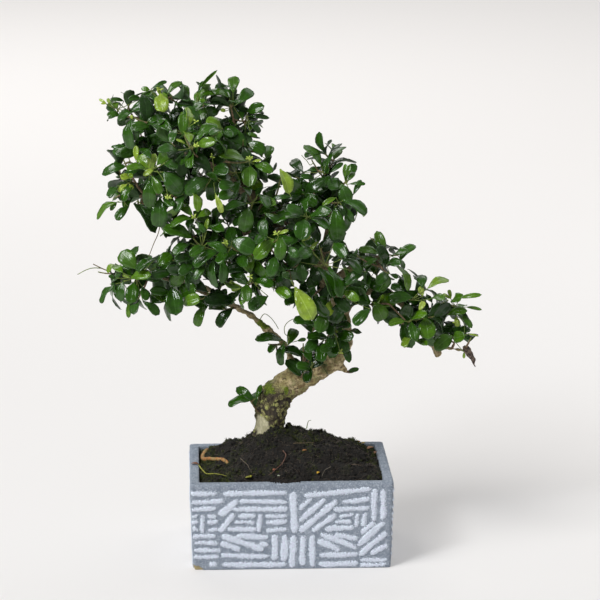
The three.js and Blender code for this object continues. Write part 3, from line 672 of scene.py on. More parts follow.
def toned_material(name, dark, light, roughness):
    """A finish that runs between two colours by each small piece's own tone"""
    material, tree = new_material(name)
    flecks = blotched(tree, size=1.0, low=0.35, high=0.65)
    share = sum_of(tree, attribute(tree, "tone"), ramp_between(tree, flecks, 0, 1, -0.15, 0.15), clamp=True)
    principled(tree, Base_Color=blend(tree, share, dark, light), Roughness=roughness,
               Normal=bumped(tree, flecks, 0.2))
    return material


# Each cover is [name, small piece, mask, how many to the square metre, smallest and largest size in metres,
# tilt, dark colour, light colour, roughness]
STREWN = [
    ("soil_crumbs", crumb, "bare", 62000.0, 0.0005, 0.0019, HALF_TURN,
     (0.003, 0.003, 0.003), (0.025, 0.019, 0.015), 0.95),
    ("root_fibres", fibre_shape, "bare", 42000.0, 0.003, 0.009, 0.6,
     (0.014, 0.01, 0.008), (0.2, 0.15, 0.11), 0.8),
    ("moss", tuft_shape, "moss", 190000.0, 0.0012, 0.0028, 0.45,
     (0.008, 0.014, 0.004), (0.1, 0.12, 0.022), 0.85),
]
for number, (name, shape, mask, density, smallest, largest, tilt, *finish) in enumerate(STREWN):
    cover = grown(strewn, soil.data, name, Piece=shape, Finish=toned_material(name, *finish), Mask=mask,
                  Density=density, Seed=number + 3, Smallest=smallest, Largest=largest, Tilt=tilt)
    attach(cover, "root")

# Some soil has spilled over the front rim.
SPILL = {"x": -6, "y": -64.5, "half_length": 16, "half_width": 5.5, "rows": 14, "columns": 7}
u, v = np.meshgrid(np.linspace(-1, 1, SPILL["rows"]), np.linspace(-1, 1, SPILL["columns"]), indexing="ij")
spill_x, spill_y = SPILL["x"] + SPILL["half_length"] * u, SPILL["y"] + SPILL["half_width"] * v
spill_places = np.stack([spill_x, spill_y, np.full_like(u, POT["height"] + 0.3)], -1).reshape(-1, 3)
spill_share = (np.clip(1 - u**2, 0, 1) * np.clip(1 - (v - 0.5) ** 2, 0, 1)).ravel()
spill_faces = grid_faces(SPILL["rows"], SPILL["columns"], closed=False)[:, ::-1]
spill_host = mesh_from("spill", spill_places, spill_faces, {"bare": spill_share})
spilled = grown(strewn, spill_host, "spilled_soil", Piece=crumb, Finish=bpy.data.materials["soil_crumbs"],
                Mask="bare", Density=900000.0, Seed=12, Smallest=0.0005, Largest=0.0014, Tilt=HALF_TURN)
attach(spilled, "root")
for shape in (crumb, fibre_shape, tuft_shape):
    bpy.data.objects.remove(shape)


# THE PALE ROOT. One thick root has come to the surface on the left of the heap, where its bark has worn
# to orange-brown. It dips under the soil at both ends.
ROOT_COURSE = [(-70, 50, -6), (-78, 46, 0.4), (-82, 32, 1), (-81, 16, 1),
               (-75, 4, 1), (-68, -8, 1), (-62, -18, 0.4), (-55, -28, -5)]
ROOT_RADIUS = 2.3
ROOT_STEPS = 110


def through(places):
    """The smooth curve through a list of places, as a rule from 0 to 1"""
    places = np.asarray(places, float)
    last = len(places) - 1
    padded = np.vstack([2 * places[0] - places[1], places, 2 * places[-1] - places[-2]])

    def at(t):
        span = min(int(last * t), last - 1)
        share = last * t - span
        before, start, end, after = padded[span : span + 4]
        slope, slope_end = (end - before) / 2, (after - start) / 2
        square, cube = share**2, share**3
        return (start * (2 * cube - 3 * square + 1) + end * (3 * square - 2 * cube)
                + slope * (cube - 2 * square + share) + slope_end * (cube - square))

    return at


root_at = through([(x, y, soil_height(x, y) + lift) for x, y, lift in ROOT_COURSE])
root_path = np.array([root_at(t) for t in np.linspace(0, 1, ROOT_STEPS)])
root_path += 0.35 * drift(root_path, 6, (0, 20, 40))
root_radii = ROOT_RADIUS * (1 - 0.35 * np.linspace(0, 1, ROOT_STEPS))
root_radii *= 1 + 0.12 * noise_over(root_path, 4, 60)
root_points, root_faces = swept(root_path, root_radii, 20)
grooves = noise_over(root_points * (0.5, 0.5, 1), 1.3, 3)
root_mesh = mesh_from("pale_root", root_points + grooves[:, None] * (0, 0, 0.25), root_faces)

worn_root, tree = new_material("worn_root")
patches = blotched(tree, size=7.0, low=0.4, high=0.6)
dirt = blotched(tree, size=2.2, low=0.5, high=0.68, shift=4.0)
colour = blend(tree, patches, (0.36, 0.24, 0.09), (0.46, 0.19, 0.055))
colour = blend(tree, dirt, colour, (0.13, 0.09, 0.035))
principled(tree, Base_Color=colour, Roughness=0.75, Normal=bumped(tree, dirt, 0.3))
root = linked(root_mesh, "pale_root", worn_root)
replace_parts(root, "surface_root")
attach(root, "root")


# LOOSE BITS. Fine roots, a yellowing stem, a straw and fallen scraps of leaf lie on the soil and the rim.
# Each strand is its name, tint, thickness and course, a line of [x, y, lift over the soil].
STRAND_STEPS = 40
STRANDS = [
    ("yellow_stem", (0.42, 0.42, 0.06), 0.65,
     [(-87, 0, 3), (-84, -18, 3), (-79, -35, 2), (-70, -45, 2), (-60, -49, 1)]),
    ("red_root", (0.27, 0.14, 0.1), 0.4, [(-7, -31, 1), (-5, -38, 2), (-9, -46, 3), (-15, -53, 5), (-21, -56, 4)]),
    ("grey_root", (0.24, 0.19, 0.14), 0.32, [(-47, -31, 1), (-43, -37, 2), (-39, -45, 2), (-37, -50, 1)]),
    ("straw", (0.24, 0.17, 0.09), 0.3, [(3, -25, 1.5), (10, -23, 2), (16, -22, 2), (23, -22, 1.5)]),
    ("right_twig", (0.22, 0.16, 0.11), 0.35, [(55, -39, 1), (58, -40, 2), (62, -39, 2), (66, -37, 1)]),
    ("pale_thread", (0.26, 0.22, 0.17), 0.3, [(37, -46, 1), (33, -50, 2), (31, -52, 2), (28, -56, 1)]),
    ("sprout", (0.16, 0.24, 0.03), 0.5, [(17, 4, -1), (17.5, 4, 3), (18.5, 4, 8), (21, 4, 10)]),
]


def plain_finish(name, tint):
    """A finish of one tint, mottled lighter and darker"""
    material, tree = new_material(name)
    patches = blotched(tree, size=3.0, low=0.35, high=0.65)
    dark = tuple(0.55 * part for part in tint)
    principled(tree, Base_Color=blend(tree, patches, dark, tint), Roughness=0.8,
               Normal=bumped(tree, patches, 0.1))
    return material


for name, tint, thickness, course in STRANDS:
    at = through([(x, y, soil_height(x, y) + 1.2 + lift * 0.8) for x, y, lift in course])
    path = np.array([at(t) for t in np.linspace(0, 1, STRAND_STEPS)])
    path += 0.5 * drift(path, 5, (11, 31, 51))
    taper = thickness * (1 - 0.6 * np.linspace(0, 1, STRAND_STEPS))
    strand = linked(mesh_from(name, *swept(path, taper, 7)), name, plain_finish(name, tint))
    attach(strand, "root")

# Each scrap is [x, y, lift over the soil, length, turn in degrees, tint]
SCRAPS = [
    (13, -34, 1.5, 4, 20, (0.42, 0.18, 0.04)),
    (25, -53, 1.8, 4.5, 60, (0.62, 0.36, 0.02)),
    (-40, -55, 1.5, 6, 15, (0.3, 0.32, 0.03)),
    (-38, -54, 1.5, 3.5, 80, (0.45, 0.45, 0.04)),
    (-12, -57, 4, 2.5, 0, (0.6, 0.68, 0.5)),
    (-16, -52, 4, 4, 50, (0.32, 0.1, 0.06)),
    (70, 54, 3, 5, 70, (0.5, 0.2, 0.05)),
    (74, 48, 2.2, 4, 20, (0.6, 0.42, 0.05)),
    (80, 33, 2.2, 8, 40, (0.34, 0.16, 0.09)),
    (84, 22, 2.5, 5, 70, (0.24, 0.12, 0.07)),
    (-90, -4, 4.8, 7, -25, (0.24, 0.09, 0.05)),
]
SCRAP = {"rows": 7, "columns": 4, "half_thickness": 0.25}
u, v = np.meshgrid(np.linspace(0, 1, SCRAP["rows"]), np.linspace(-1, 1, SCRAP["columns"]), indexing="ij")
scrap_parts, scrap_tints = [], []
for x, y, lift, length, turn, tint in SCRAPS:
    half = 0.32 * length * np.sin(np.pi * np.clip(u, 0.04, 0.96)) ** 0.6
    local = np.stack([(u - 0.5) * length, v * half, 0.12 * length * np.sin(3 * u) + 0.3 * v**2], -1).reshape(-1, 3)
    cos, sin = math.cos(math.radians(turn)), math.sin(math.radians(turn))
    turned_x, turned_y = local[:, 0] * cos - local[:, 1] * sin, local[:, 0] * sin + local[:, 1] * cos
    ground = max(soil_height(x, y) + 1.2, 0)
    sheet = np.stack([turned_x, turned_y, local[:, 2]], -1) + (x, y, ground + lift * 0.7)
    shell = np.vstack([sheet + (0, 0, SCRAP["half_thickness"]), sheet - (0, 0, SCRAP["half_thickness"])])
    scrap_parts.append((shell, slab_faces(SCRAP["rows"], SCRAP["columns"], flipped=True)))
    scrap_tints += [tint] * len(shell)
scrap_finish, tree = new_material("fallen_scrap")
own_tint = node(tree, "ShaderNodeAttribute", attribute_name="tint", attribute_type="GEOMETRY").outputs["Color"]
patches = blotched(tree, size=1.5, low=0.4, high=0.7)
principled(tree, Base_Color=blend(tree, patches, own_tint, (0.12, 0.07, 0.03)), Roughness=0.75)
scrap_mesh = mesh_from("fallen_scraps", *joined(scrap_parts), {"tint": np.array(scrap_tints)})
scraps = linked(scrap_mesh, "fallen_scraps", scrap_finish)
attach(scraps, "root")


# THE WOOD. The trunk leans to the right out of the soil, bends back to the left and forks into the limbs.
# Its bark is rough and cracked low down, with moss and lichen, and one low patch is bare pale wood.
TRUNK_BOTTOM = 86
TRUNK_GNARL = 0.07
WAIST = {"height": 117, "reach": 8, "depth": 1.5}
NODULE_SIZE = 4.2
CRACK_SIZE = 6.5
# The patch of bare wood and each patch of moss is a place on the bark and how far it reaches each way.
BARE_PATCH = ((-32, -9, 123), (12, 16, 10.5))
MOSS_PATCHES = [((-21, -9, 158.5), (8, 14, 6.5)), ((-24, -12, 223), (9, 7, 5)), ((-3, -10, 158), (2, 6, 5)),
                ((46, -14, 212), (5, 9, 16)), ((1, -5, 181), (3, 6, 4))]
TRUNK_STEPS, TRUNK_SIDES = 260, 64
LIMB_SPAN_STEPS, LIMB_SIDES = 14, 16
# Each limb is a line of [x, y, z, radius].
LIMBS = {
    "trunk": [
        (-18, 4, TRUNK_BOTTOM, 14), (-18, 4, 104, 15), (-18, 4, 120, 15), (-16.5, 4, 139.5, 15),
        (-7.5, 2, 155.2, 13.2), (8, 0, 166.6, 13.2), (25.6, -3, 178, 13), (40, -6, 188.5, 12.6),
        (48, -6, 203, 11.5), (48, -4, 218, 10), (45, 0, 237, 9.2), (38, 4, 257, 8.4), (25, 6, 278, 7.6),
        (9, 4, 299, 6.8), (-9, 0, 319, 6), (-30, -4, 339, 5.2), (-50, -6, 356, 4.4), (-68, -4, 372, 3.6),
        (-80, 0, 388, 2.8), (-82, 2, 405, 2),
    ],
    "left": [
        (4, 0, 171, 5.2), (2.5, -4, 185, 3.2), (-2.5, -6, 196.5, 2.8), (-10.5, -8, 207.5, 3),
        (-21.5, -10, 217.5, 3.4), (-35, -12, 230, 2.7), (-48, -14, 239, 2.4), (-65, -16, 247, 2.4),
        (-86, -18, 257, 2.2), (-108, -20, 267, 2), (-130, -20, 273, 1.7), (-152, -18, 278, 1.3),
    ],
    "right": [
        (47, -2, 225, 6.5), (58, 6, 239, 5.4), (75, 10, 249, 4.6), (93, 12, 247, 4), (108, 12, 235, 3.5),
        (119, 12, 220, 3.2), (132, 12, 201, 3), (144, 12, 185, 3.2),
    ],
    "right_shoot": [(138, 12, 193, 2.4), (150, 10, 193, 1.8), (162, 8, 191, 1.4), (171, 8, 189, 1.1)],
    "lobe": [(30, 5, 268, 5.5), (35, 10, 289, 4.4), (38, 12, 311, 3.6), (38, 12, 334, 2.9), (42, 10, 355, 2)],
    "shoulder": [(40, 2, 257, 5), (53, -10, 272, 3.8), (71, -11, 281, 3.2), (89, -8, 287, 2.4)],
    "crown_low": [(-53, -6, 358, 4), (-77, -14, 359, 3.2), (-100, -20, 355, 2.7), (-123, -22, 350, 2.1),
                  (-138, -20, 347, 1.6)],
    "crown_left": [(-75, -2, 380, 3.2), (-92, 4, 397, 2.7), (-112, 8, 409, 2.3), (-133, 10, 417, 1.8)],
    "crown_right": [(-60, -4, 365, 3.6), (-53, 4, 384, 2.9), (-47, 8, 404, 2.1)],
    "crown_front": [(-46, -6, 352, 4), (-61, -30, 369, 3), (-76, -50, 383, 2.2)],
    "crown_back": [(-48, -6, 354, 4), (-62, 25, 367, 3), (-75, 48, 376, 2.1)],
    "front": [(23, 6, 280, 5), (9, -20, 284, 3.8), (-5, -42, 284, 2.6)],
    "back": [(21, 6, 283, 5), (12, 35, 288, 3.8), (3, 62, 288, 2.6)],
    "middle_left": [(-5, 1, 314, 4.6), (-31, -12, 314, 3.6), (-59, -20, 307, 2.9), (-87, -24, 298, 2)],
    "right_front": [(44, 0, 241, 5), (37, -25, 257, 3.6), (28, -46, 266, 2.2)],
    "right_back": [(46, 0, 231, 5), (58, 28, 245, 3.8), (68, 52, 258, 2.4)],
    "left_back": [(-67, -16, 248, 2.8), (-76, 10, 252, 2.2), (-89, 30, 255, 1.5)],
    "old_stub": [(40, -5, 184, 6), (49, -8, 178.5, 3.2), (54, -9, 175, 1.2)],
}
limb_curves = {name: through([place[:3] for place in places]) for name, places in LIMBS.items()}


def gnarl(t, turn):
    """The trunk's uneven section, as a share of its radius"""
    return 1 + TRUNK_GNARL * (np.sin(3 * turn + 19 * t) + 0.7 * np.sin(2 * turn - 31 * t))


def wood_parts():
    """The trunk and each limb as a tube that sinks into the wood it grows from"""
    for name, places in LIMBS.items():
        count = TRUNK_STEPS if name == "trunk" else LIMB_SPAN_STEPS * (len(places) - 1)
        shares = np.linspace(0, 1, count)
        path = np.array([limb_curves[name](t) for t in shares])
        radii = np.interp(shares * (len(places) - 1), np.arange(len(places)), [place[3] for place in places])
        if name == "trunk":
            yield swept(path, radii, TRUNK_SIDES, round_out=gnarl)
        else:
            flare = 1 + 0.45 * np.exp(-np.linalg.norm(path - path[0], axis=1) / (1.3 * radii[0]))
            knots = 1 + 0.1 * noise_over(path, 9, len(name))
            yield swept(path + 0.5 * drift(path, 12), radii * flare * knots, LIMB_SIDES)


def fused(name, parts, voxel, smoothing):
    """One closed skin over overlapping tubes"""
    host = linked(mesh_from(name, *joined(parts)), name + "_host")
    remesh = host.modifiers.new("skin", "REMESH")
    remesh.mode = "VOXEL"
    remesh.voxel_size = voxel * MM
    soften = host.modifiers.new("soften", "SMOOTH")
    soften.factor = 0.5
    soften.iterations = smoothing
    mesh = bpy.data.meshes.new_from_object(host.evaluated_get(bpy.context.evaluated_depsgraph_get()))
    bpy.data.objects.remove(host)
    mesh.name = name
    return mesh


def near(points, centre, reach, ragged):
    """1 close to a place and 0 beyond its reach, with a ragged border"""
    away = np.linalg.norm((points - centre) / reach, axis=1)
    return 1 - smooth(0.8, 1.1, away + ragged)


wood_mesh = fused("trunk_and_limbs_bark", list(wood_parts()), voxel=0.85, smoothing=3)
count = len(wood_mesh.vertices)
skin = np.empty(count * 3, np.float32)
wood_mesh.vertices.foreach_get("co", skin)
skin = skin.reshape(-1, 3) / MM
out = np.empty(count * 3, np.float32)
wood_mesh.vertex_normals.foreach_get("vector", out)
out = out.reshape(-1, 3)
ragged = 0.35 * noise_over(skin, 6, 2) + 0.15 * noise_over(skin, 2, 9)
bare_wood = near(skin, *BARE_PATCH, 0.6 * ragged)
low_bark = 1 - smooth(150, 167, skin[:, 2] + 0.45 * skin[:, 0] + 14 * ragged)
nodules = np.array([noise.voronoi(Vector(p) / NODULE_SIZE)[0][0] for p in skin])
cracks = np.array([noise.voronoi(Vector((p[0], p[1], p[2] * 0.45)) / CRACK_SIZE)[0] for p in skin])
crack_edge = (1 - smooth(0.02, 0.2, cracks[:, 1] - cracks[:, 0])) * (0.25 + 0.75 * low_bark)
waist = -WAIST["depth"] * np.exp(-((skin[:, 2] - WAIST["height"]) / WAIST["reach"]) ** 2)
lump = 2.2 * (0.62 - nodules) * low_bark * (1 - bare_wood)
above = smooth(150, 330, skin[:, 2] + 0.2 * np.abs(skin[:, 0]))
gentle = (2.2 * noise_over(skin, 8, 6) + 1.1 * noise_over(skin, 3.4, 7) - 0.6 * crack_edge) * (1 - 0.65 * above)
lift = lump + gentle * (1 - 0.7 * bare_wood) + waist - 0.9 * bare_wood
skin += out * lift[:, None]
wood_mesh.vertices.foreach_set("co", (skin * MM).astype(np.float32).ravel())
give_values(wood_mesh, {
    "bare_wood": bare_wood,
    "low_bark": low_bark,
    # The hollows between the nodules carry a painted shade, darkest in their deepest parts.
    "shade_between_nodules": smooth(0.15, 0.75, nodules) * low_bark,
    # The sunken cracks carry a painted shade.
    "shade_in_cracks": crack_edge,
    "moss_on": np.maximum.reduce([near(skin, *patch, 1.5 * ragged) for patch in MOSS_PATCHES]),
    "above": above,
})
wood_mesh.shade_smooth()
wood_mesh.update()

bark, tree = new_material("living_bark")
broad = blotched(tree, size=13.0, low=0.4, high=0.6)
small = blotched(tree, size=3.0, low=0.4, high=0.62, shift=2.0)
fine = blotched(tree, size=1.1, low=0.38, high=0.66, shift=6.0)
spots = blotched(tree, size=4.5, low=0.6, high=0.68, shift=9.0)
tan = blend(tree, broad, (0.42, 0.35, 0.14), (0.86, 0.7, 0.4))
tan = blend(tree, small, tan, (0.24, 0.17, 0.075))
tan = blend(tree, spots, tan, (0.07, 0.055, 0.035))
rough = blend(tree, fine, (0.13, 0.12, 0.04), (0.74, 0.69, 0.28))
rough = blend(tree, broad, rough, blend(tree, fine, (0.035, 0.028, 0.016), (0.14, 0.11, 0.06)))
lichen = blotched(tree, size=6.0, low=0.52, high=0.6, shift=4.0)
rough = blend(tree, lichen, rough, (0.5, 0.52, 0.16))
# Painted shade: the bark turns near black in the hollows between the nodules.
rough = blend(tree, ramp_between(tree, attribute(tree, "shade_between_nodules"), 0.55, 0.95), rough, (0.045, 0.035, 0.022))
twiggy = blend(tree, small, (0.17, 0.125, 0.07), (0.34, 0.27, 0.16))
tan = blend(tree, sum_of(tree, lichen, 0.5, "MULTIPLY"), tan, (0.3, 0.31, 0.12))
colour = blend(tree, attribute(tree, "low_bark"), tan, rough)
colour = blend(tree, attribute(tree, "above"), colour, twiggy)
# Painted shade: the bark turns dark brown along its sunken cracks.
colour = blend(tree, ramp_between(tree, attribute(tree, "shade_in_cracks"), 0.35, 1, 0, 0.7), colour, (0.08, 0.06, 0.035))
pale = blend(tree, small, (0.6, 0.56, 0.34), (0.78, 0.73, 0.5))
colour = blend(tree, attribute(tree, "bare_wood"), colour, pale)
green = blend(tree, fine, (0.07, 0.11, 0.006), (0.25, 0.33, 0.02))
colour = blend(tree, attribute(tree, "moss_on"), colour, green)
principled(tree, Base_Color=colour, Roughness=ramp_between(tree, small, 0, 1, 0.7, 0.9),
           Normal=bumped(tree, fine, 0.45))
wood = linked(wood_mesh, "trunk_and_limbs_bark", bark)
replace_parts(wood, "trunk_and_limbs")
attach(wood, "root")


# THE TWIGS. Thin twigs grow from the limbs and fork once or twice. Their bark is brown and their ends, like
# the flower stalks that hang from some of them, are green.
UP = np.array([0.0, 0.0, 1.0])
TWIG = {"seat": 1.4, "side_seat": 0.9, "tip": 0.75, "step_back": 0.07, "elbow": 0.6, "sag": 0.14, "fork_at": 0.4}
TWIG_STEPS = 12
# Each spray is the limb that it grows from and the ends of its twigs.
SPRAYS = {
    "crown_1": ("crown_left", (-162, 8, 421), (-148, -10, 430)),
    "crown_2": ("crown_left", (-128, 14, 426), (-108, -4, 438)),
    "crown_3": ("crown_left", (-150, -16, 404), (-130, -26, 417), (-135, -10, 396)),
    "crown_4": ("trunk", (-79, 6, 437), (-93, -20, 426)),
    "crown_5": ("crown_right", (-55, 0, 435), (-36, 8, 412)),
    "crown_6": ("crown_right", (-32, -6, 386), (-43, -28, 400), (-40, -12, 366)),
    "crown_7": ("crown_low", (-153, -14, 380), (-163, -20, 345), (-157, -2, 361)),
    "crown_8": ("crown_low", (-140, -32, 338), (-116, -28, 330)),
    "crown_9": ("crown_low", (-128, -46, 374), (-105, -46, 352)),
    "crown_10": ("crown_front", (-92, -76, 401), (-112, -50, 404)),
    "crown_11": ("crown_front", (-74, -60, 370), (-59, -54, 386)),
    "crown_12": ("crown_right", (-84, -36, 415), (-62, -36, 412)),
    "crown_13": ("crown_back", (-110, 50, 399), (-86, 42, 414)),
    "crown_14": ("crown_back", (-109, 62, 361), (-78, 58, 350), (-131, 36, 362)),
    "crown_15": ("crown_back", (-45, 44, 371), (-59, 48, 401)),
    "middle_1": ("middle_left", (-72, -36, 322), (-108, -36, 316)),
    "middle_2": ("middle_left", (-111, -28, 288), (-96, -42, 280)),
    "middle_3": ("middle_left", (-80, 4, 282), (-62, 28, 284)),
    "middle_4": ("trunk", (-42, -38, 335)),
    "middle_5": ("front", (-24, -66, 314), (-47, -60, 303)),
    "middle_6": ("front", (-40, -58, 286), (-47, -50, 266)),
    "middle_7": ("front", (-20, -64, 275), (-2, -60, 286)),
    "middle_8": ("trunk", (10, -42, 316), (29, -40, 301), (-18, -26, 346)),
    "middle_9": ("right_front", (13, -68, 260)),
    "middle_10": ("right_front", (36, -48, 253), (55, -42, 267)),
    "middle_11": ("back", (-10, 84, 297), (-25, 66, 271)),
    "middle_12": ("back", (15, 52, 307), (-6, 56, 258)),
    "middle_13": ("right_back", (77, 76, 265), (56, 56, 286), (50, 58, 240)),
    "middle_14": ("trunk", (-45, 32, 338), (-24, 34, 315)),
    "lobe_1": ("lobe", (21, -4, 377), (43, 12, 375)),
    "lobe_2": ("lobe", (5, 10, 360), (11, -22, 348), (20, -24, 326)),
    "lobe_3": ("lobe", (55, -6, 358), (62, 6, 333)),
    "lobe_4": ("lobe", (41, -28, 341), (49, -24, 312)),
    "lobe_5": ("lobe", (33, 42, 330), (44, 36, 336)),
    "shoulder_1": ("shoulder", (88, -8, 294), (104, -2, 286)),
    "shoulder_2": ("shoulder", (91, -30, 274), (60, -30, 293)),
    "shoulder_3": ("right", (80, -14, 240), (66, -24, 250)),
    "right_1": ("right", (104, -10, 252), (128, 6, 253)),
    "right_2": ("right", (151, 6, 240), (165, 14, 228)),
    "right_3": ("right", (106, -6, 220)),
    "right_4": ("right", (136, -14, 229), (125, -10, 209)),
    "right_5": ("right_shoot", (160, 2, 208), (145, 22, 207)),
    "right_6": ("right_shoot", (172, -4, 206)),
    "left_1": ("left", (-162, -22, 284), (-167, -24, 265), (-178, -20, 276)),
    "left_2": ("left", (-142, -40, 276), (-142, -34, 252), (-121, -2, 275)),
    "left_3": ("left", (-116, -40, 253), (-92, -36, 252)),
    "left_4": ("left", (-63, -28, 242)),
    "left_5": ("left_back", (-95, 38, 256), (-115, 26, 263)),
    "low_1": ("left", (-20, -14, 204), (-12, -16, 197)),
    "low_2": ("trunk", (-38, -8, 150)),
    "low_3": ("trunk", (12, -30, 208), (22, -34, 228)),
    "low_4": ("trunk", (16, -28, 184)),
    "low_5": ("trunk", (51, -26, 220)),
    "low_6": ("old_stub", (60, -8, 174)),
}


def unit(vector):
    return vector / np.linalg.norm(vector)


def tangent(curve, t):
    return unit(curve(min(1, t + 1e-4)) - curve(max(0, t - 1e-4)))


def seat_on(limb, tip):
    """The place on a limb that a twig to the tip grows from, a little before the nearest one"""
    shares = np.arange(41) / 40
    distances = [np.linalg.norm(limb_curves[limb](t) - tip) for t in shares]
    return limb_curves[limb](max(0.02, shares[int(np.argmin(distances))] - TWIG["step_back"]))


def twig_curve(start, tip):
    elbow = mix(start, tip, TWIG["elbow"])
    elbow[2] -= TWIG["sag"] * np.linalg.norm(tip - start)
    return lambda t: (1 - t) ** 2 * start + 2 * t * (1 - t) * elbow + t * t * tip


def twig_curves(places):
    """The main twig of a spray and those that fork from it"""
    limb, ends = places[0], [np.array(end, float) for end in places[1:]]
    main = twig_curve(seat_on(limb, ends[0]), ends[0])
    return [main, *[twig_curve(main(TWIG["fork_at"]), end) for end in ends[1:]]]


spray_curves = {name: twig_curves(places) for name, places in SPRAYS.items()}

# Stemmed: tubes along the edges of a mesh, as thick as its thickness values say
stemmed, given, result = geometry_tree("stemmed", {"Sides": ("Int", 7), "Finish": ("Material", None)})
as_curves = node(stemmed, "GeometryNodeMeshToCurve", {"Mesh": given["Geometry"]})
ring = node(stemmed, "GeometryNodeCurvePrimitiveCircle", {"Resolution": given["Sides"], "Radius": 1.0})
tubes = node(
    stemmed,
    "GeometryNodeCurveToMesh",
    {
        "Curve": as_curves.outputs[0],
        "Profile Curve": ring.outputs["Curve"],
        "Scale": field(stemmed, "thickness"),
        "Fill Caps": True,
    },
)
rounded = node(stemmed, "GeometryNodeSetShadeSmooth", {"Geometry": tubes.outputs[0]})
end_tree(stemmed, rounded.outputs[0], given, result)


def stems(name, runs, finish, sides=7):
    """One piece of many stems, each run a path with its radius at every point and its own greenness"""
    points, edges, thick, green = [], [], [], []
    for path, radii, greenness in runs:
        first = len(points)
        points += list(path)
        edges += [(first + k, first + k + 1) for k in range(len(path) - 1)]
        thick += [radius * MM for radius in radii]
        green += list(greenness)
    mesh = bpy.data.meshes.new(name + "_paths")
    mesh.from_pydata((np.array(points) * MM).tolist(), edges, [])
    give_values(mesh, {"thickness": thick, "green": green})
    return grown(stemmed, mesh, name, Sides=sides, Finish=finish)


twig_bark, tree = new_material("twig_bark")
flecks = blotched(tree, size=1.8, low=0.4, high=0.62)
brown = blend(tree, flecks, (0.12, 0.075, 0.04), (0.26, 0.18, 0.1))
fresh = blend(tree, flecks, (0.09, 0.15, 0.02), (0.2, 0.29, 0.04))
principled(tree, Base_Color=blend(tree, attribute(tree, "green"), brown, fresh), Roughness=0.7,
           Normal=bumped(tree, flecks, 0.15))

twig_runs = []
for name, curves in spray_curves.items():
    for number, curve in enumerate(curves):
        shares = np.linspace(0, 1, TWIG_STEPS)
        path = np.array([curve(t) for t in shares])
        path += 0.5 * (np.sin(np.pi * shares))[:, None] * drift(path, 5)
        seat = TWIG["seat"] if number == 0 else TWIG["side_seat"]
        radii = mix(seat, TWIG["tip"] * 0.75, shares) * (1 + 0.25 * noise_over(path, 2.5, 5))
        twig_runs.append((path, radii, smooth(0.6, 1.1, shares) * 0.8))
twigs = stems("twigs", twig_runs, twig_bark)
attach(twigs, "root")


# THE LEAVES. They are small, stiff and glossy, widest near their rounded and sometimes notched ends, and
# sit in tufts at the twigs' ends. Young ones are yellow-green, old ones a deep green that shines bluish.
# Leaves that lie in shade inside the canopy get the darkest green, a painted shade, and every leaf's edge has a
# paler band, a painted highlight.
LEAF = {"shortest": 20, "longest": 27, "slimmest": 0.46, "broadest": 0.6}
LEAVES_TO_TWIG = {"fewest": 6, "most": 13, "spacing": 2.7}
LEAF_SET = {"step": 0.035, "step_growth": 1.7, "open": 22, "open_step": 16, "open_spread": 16, "twist": 0.7}
LIGHT_SEEKING = 0.5
GOLDEN_ANGLE = math.pi * (3 - math.sqrt(5))


def chance(*keys):
    """A repeatable draw from 0 to 1 for a set of numbers"""
    angle = sum((key + 1) * (12.9898 + 65.123 * place) for place, key in enumerate(keys))
    spread_out = math.sin(angle) * 43758.5453
    return spread_out - math.floor(spread_out)


def leaf_pose(curve, spray, tip, leaf):
    """Foot, axis, width direction and face of one leaf on a twig"""
    t = 1 - LEAF_SET["step"] * leaf ** LEAF_SET["step_growth"]
    along = tangent(curve, t)
    level = UP if abs(along[2]) < 0.9 else np.array([1.0, 0, 0])
    across = unit(np.cross(along, level))
    side = np.cross(along, across)
    turn = leaf * GOLDEN_ANGLE + 2 * math.pi * chance(spray, tip, 7)
    radial = across * math.cos(turn) + side * math.sin(turn)
    spread_by = LEAF_SET["open_spread"] * (chance(spray, tip, leaf, 1) - 0.5)
    lean = math.radians(min(LEAF_SET["open"] + LEAF_SET["open_step"] * leaf, 88) + spread_by)
    axis = along * math.cos(lean) + radial * math.sin(lean)
    face = along * math.sin(lean) - radial * math.cos(lean) + LIGHT_SEEKING * UP
    face = unit(face - axis * face.dot(axis))
    twist = LEAF_SET["twist"] * (chance(spray, tip, leaf, 2) - 0.5)
    face = face * math.cos(twist) + np.cross(axis, face) * math.sin(twist)
    return curve(t), axis, np.cross(face, axis), face


# Each blade form gives half widths along the leaf, how far it folds along its middle, how it curls
# towards its end, how its edges wave, and how deep the notch in its end is.
BLADE_ROWS = [0, 0.07, 0.2, 0.38, 0.56, 0.74, 0.9, 1.0]
BLADE_FORMS = {
    "a_plain": ([0.1, 0.2, 0.58, 0.87, 1.0, 0.97, 0.72, 0.24], 0.12, -0.06, 0.01, 0.0),
    "b_notched": ([0.1, 0.18, 0.5, 0.81, 0.97, 1.0, 0.82, 0.4], 0.16, -0.12, 0.02, 0.03),
    "c_cupped": ([0.1, 0.22, 0.62, 0.92, 1.0, 0.92, 0.66, 0.2], 0.3, 0.07, 0.01, 0.0),
    "d_drooping": ([0.1, 0.2, 0.54, 0.85, 1.0, 0.96, 0.72, 0.24], 0.1, -0.3, 0.02, 0.0),
    "e_wavy": ([0.1, 0.18, 0.5, 0.8, 0.97, 0.98, 0.76, 0.28], 0.12, -0.05, 0.05, 0.01),
    "f_curled": ([0.1, 0.2, 0.55, 0.86, 1.0, 0.95, 0.7, 0.24], 0.34, -0.42, 0.02, 0.0),
}
BLADE_COLUMNS = [-1, -0.55, 0, 0.55, 1]
BLADE_THICKNESS = 0.016


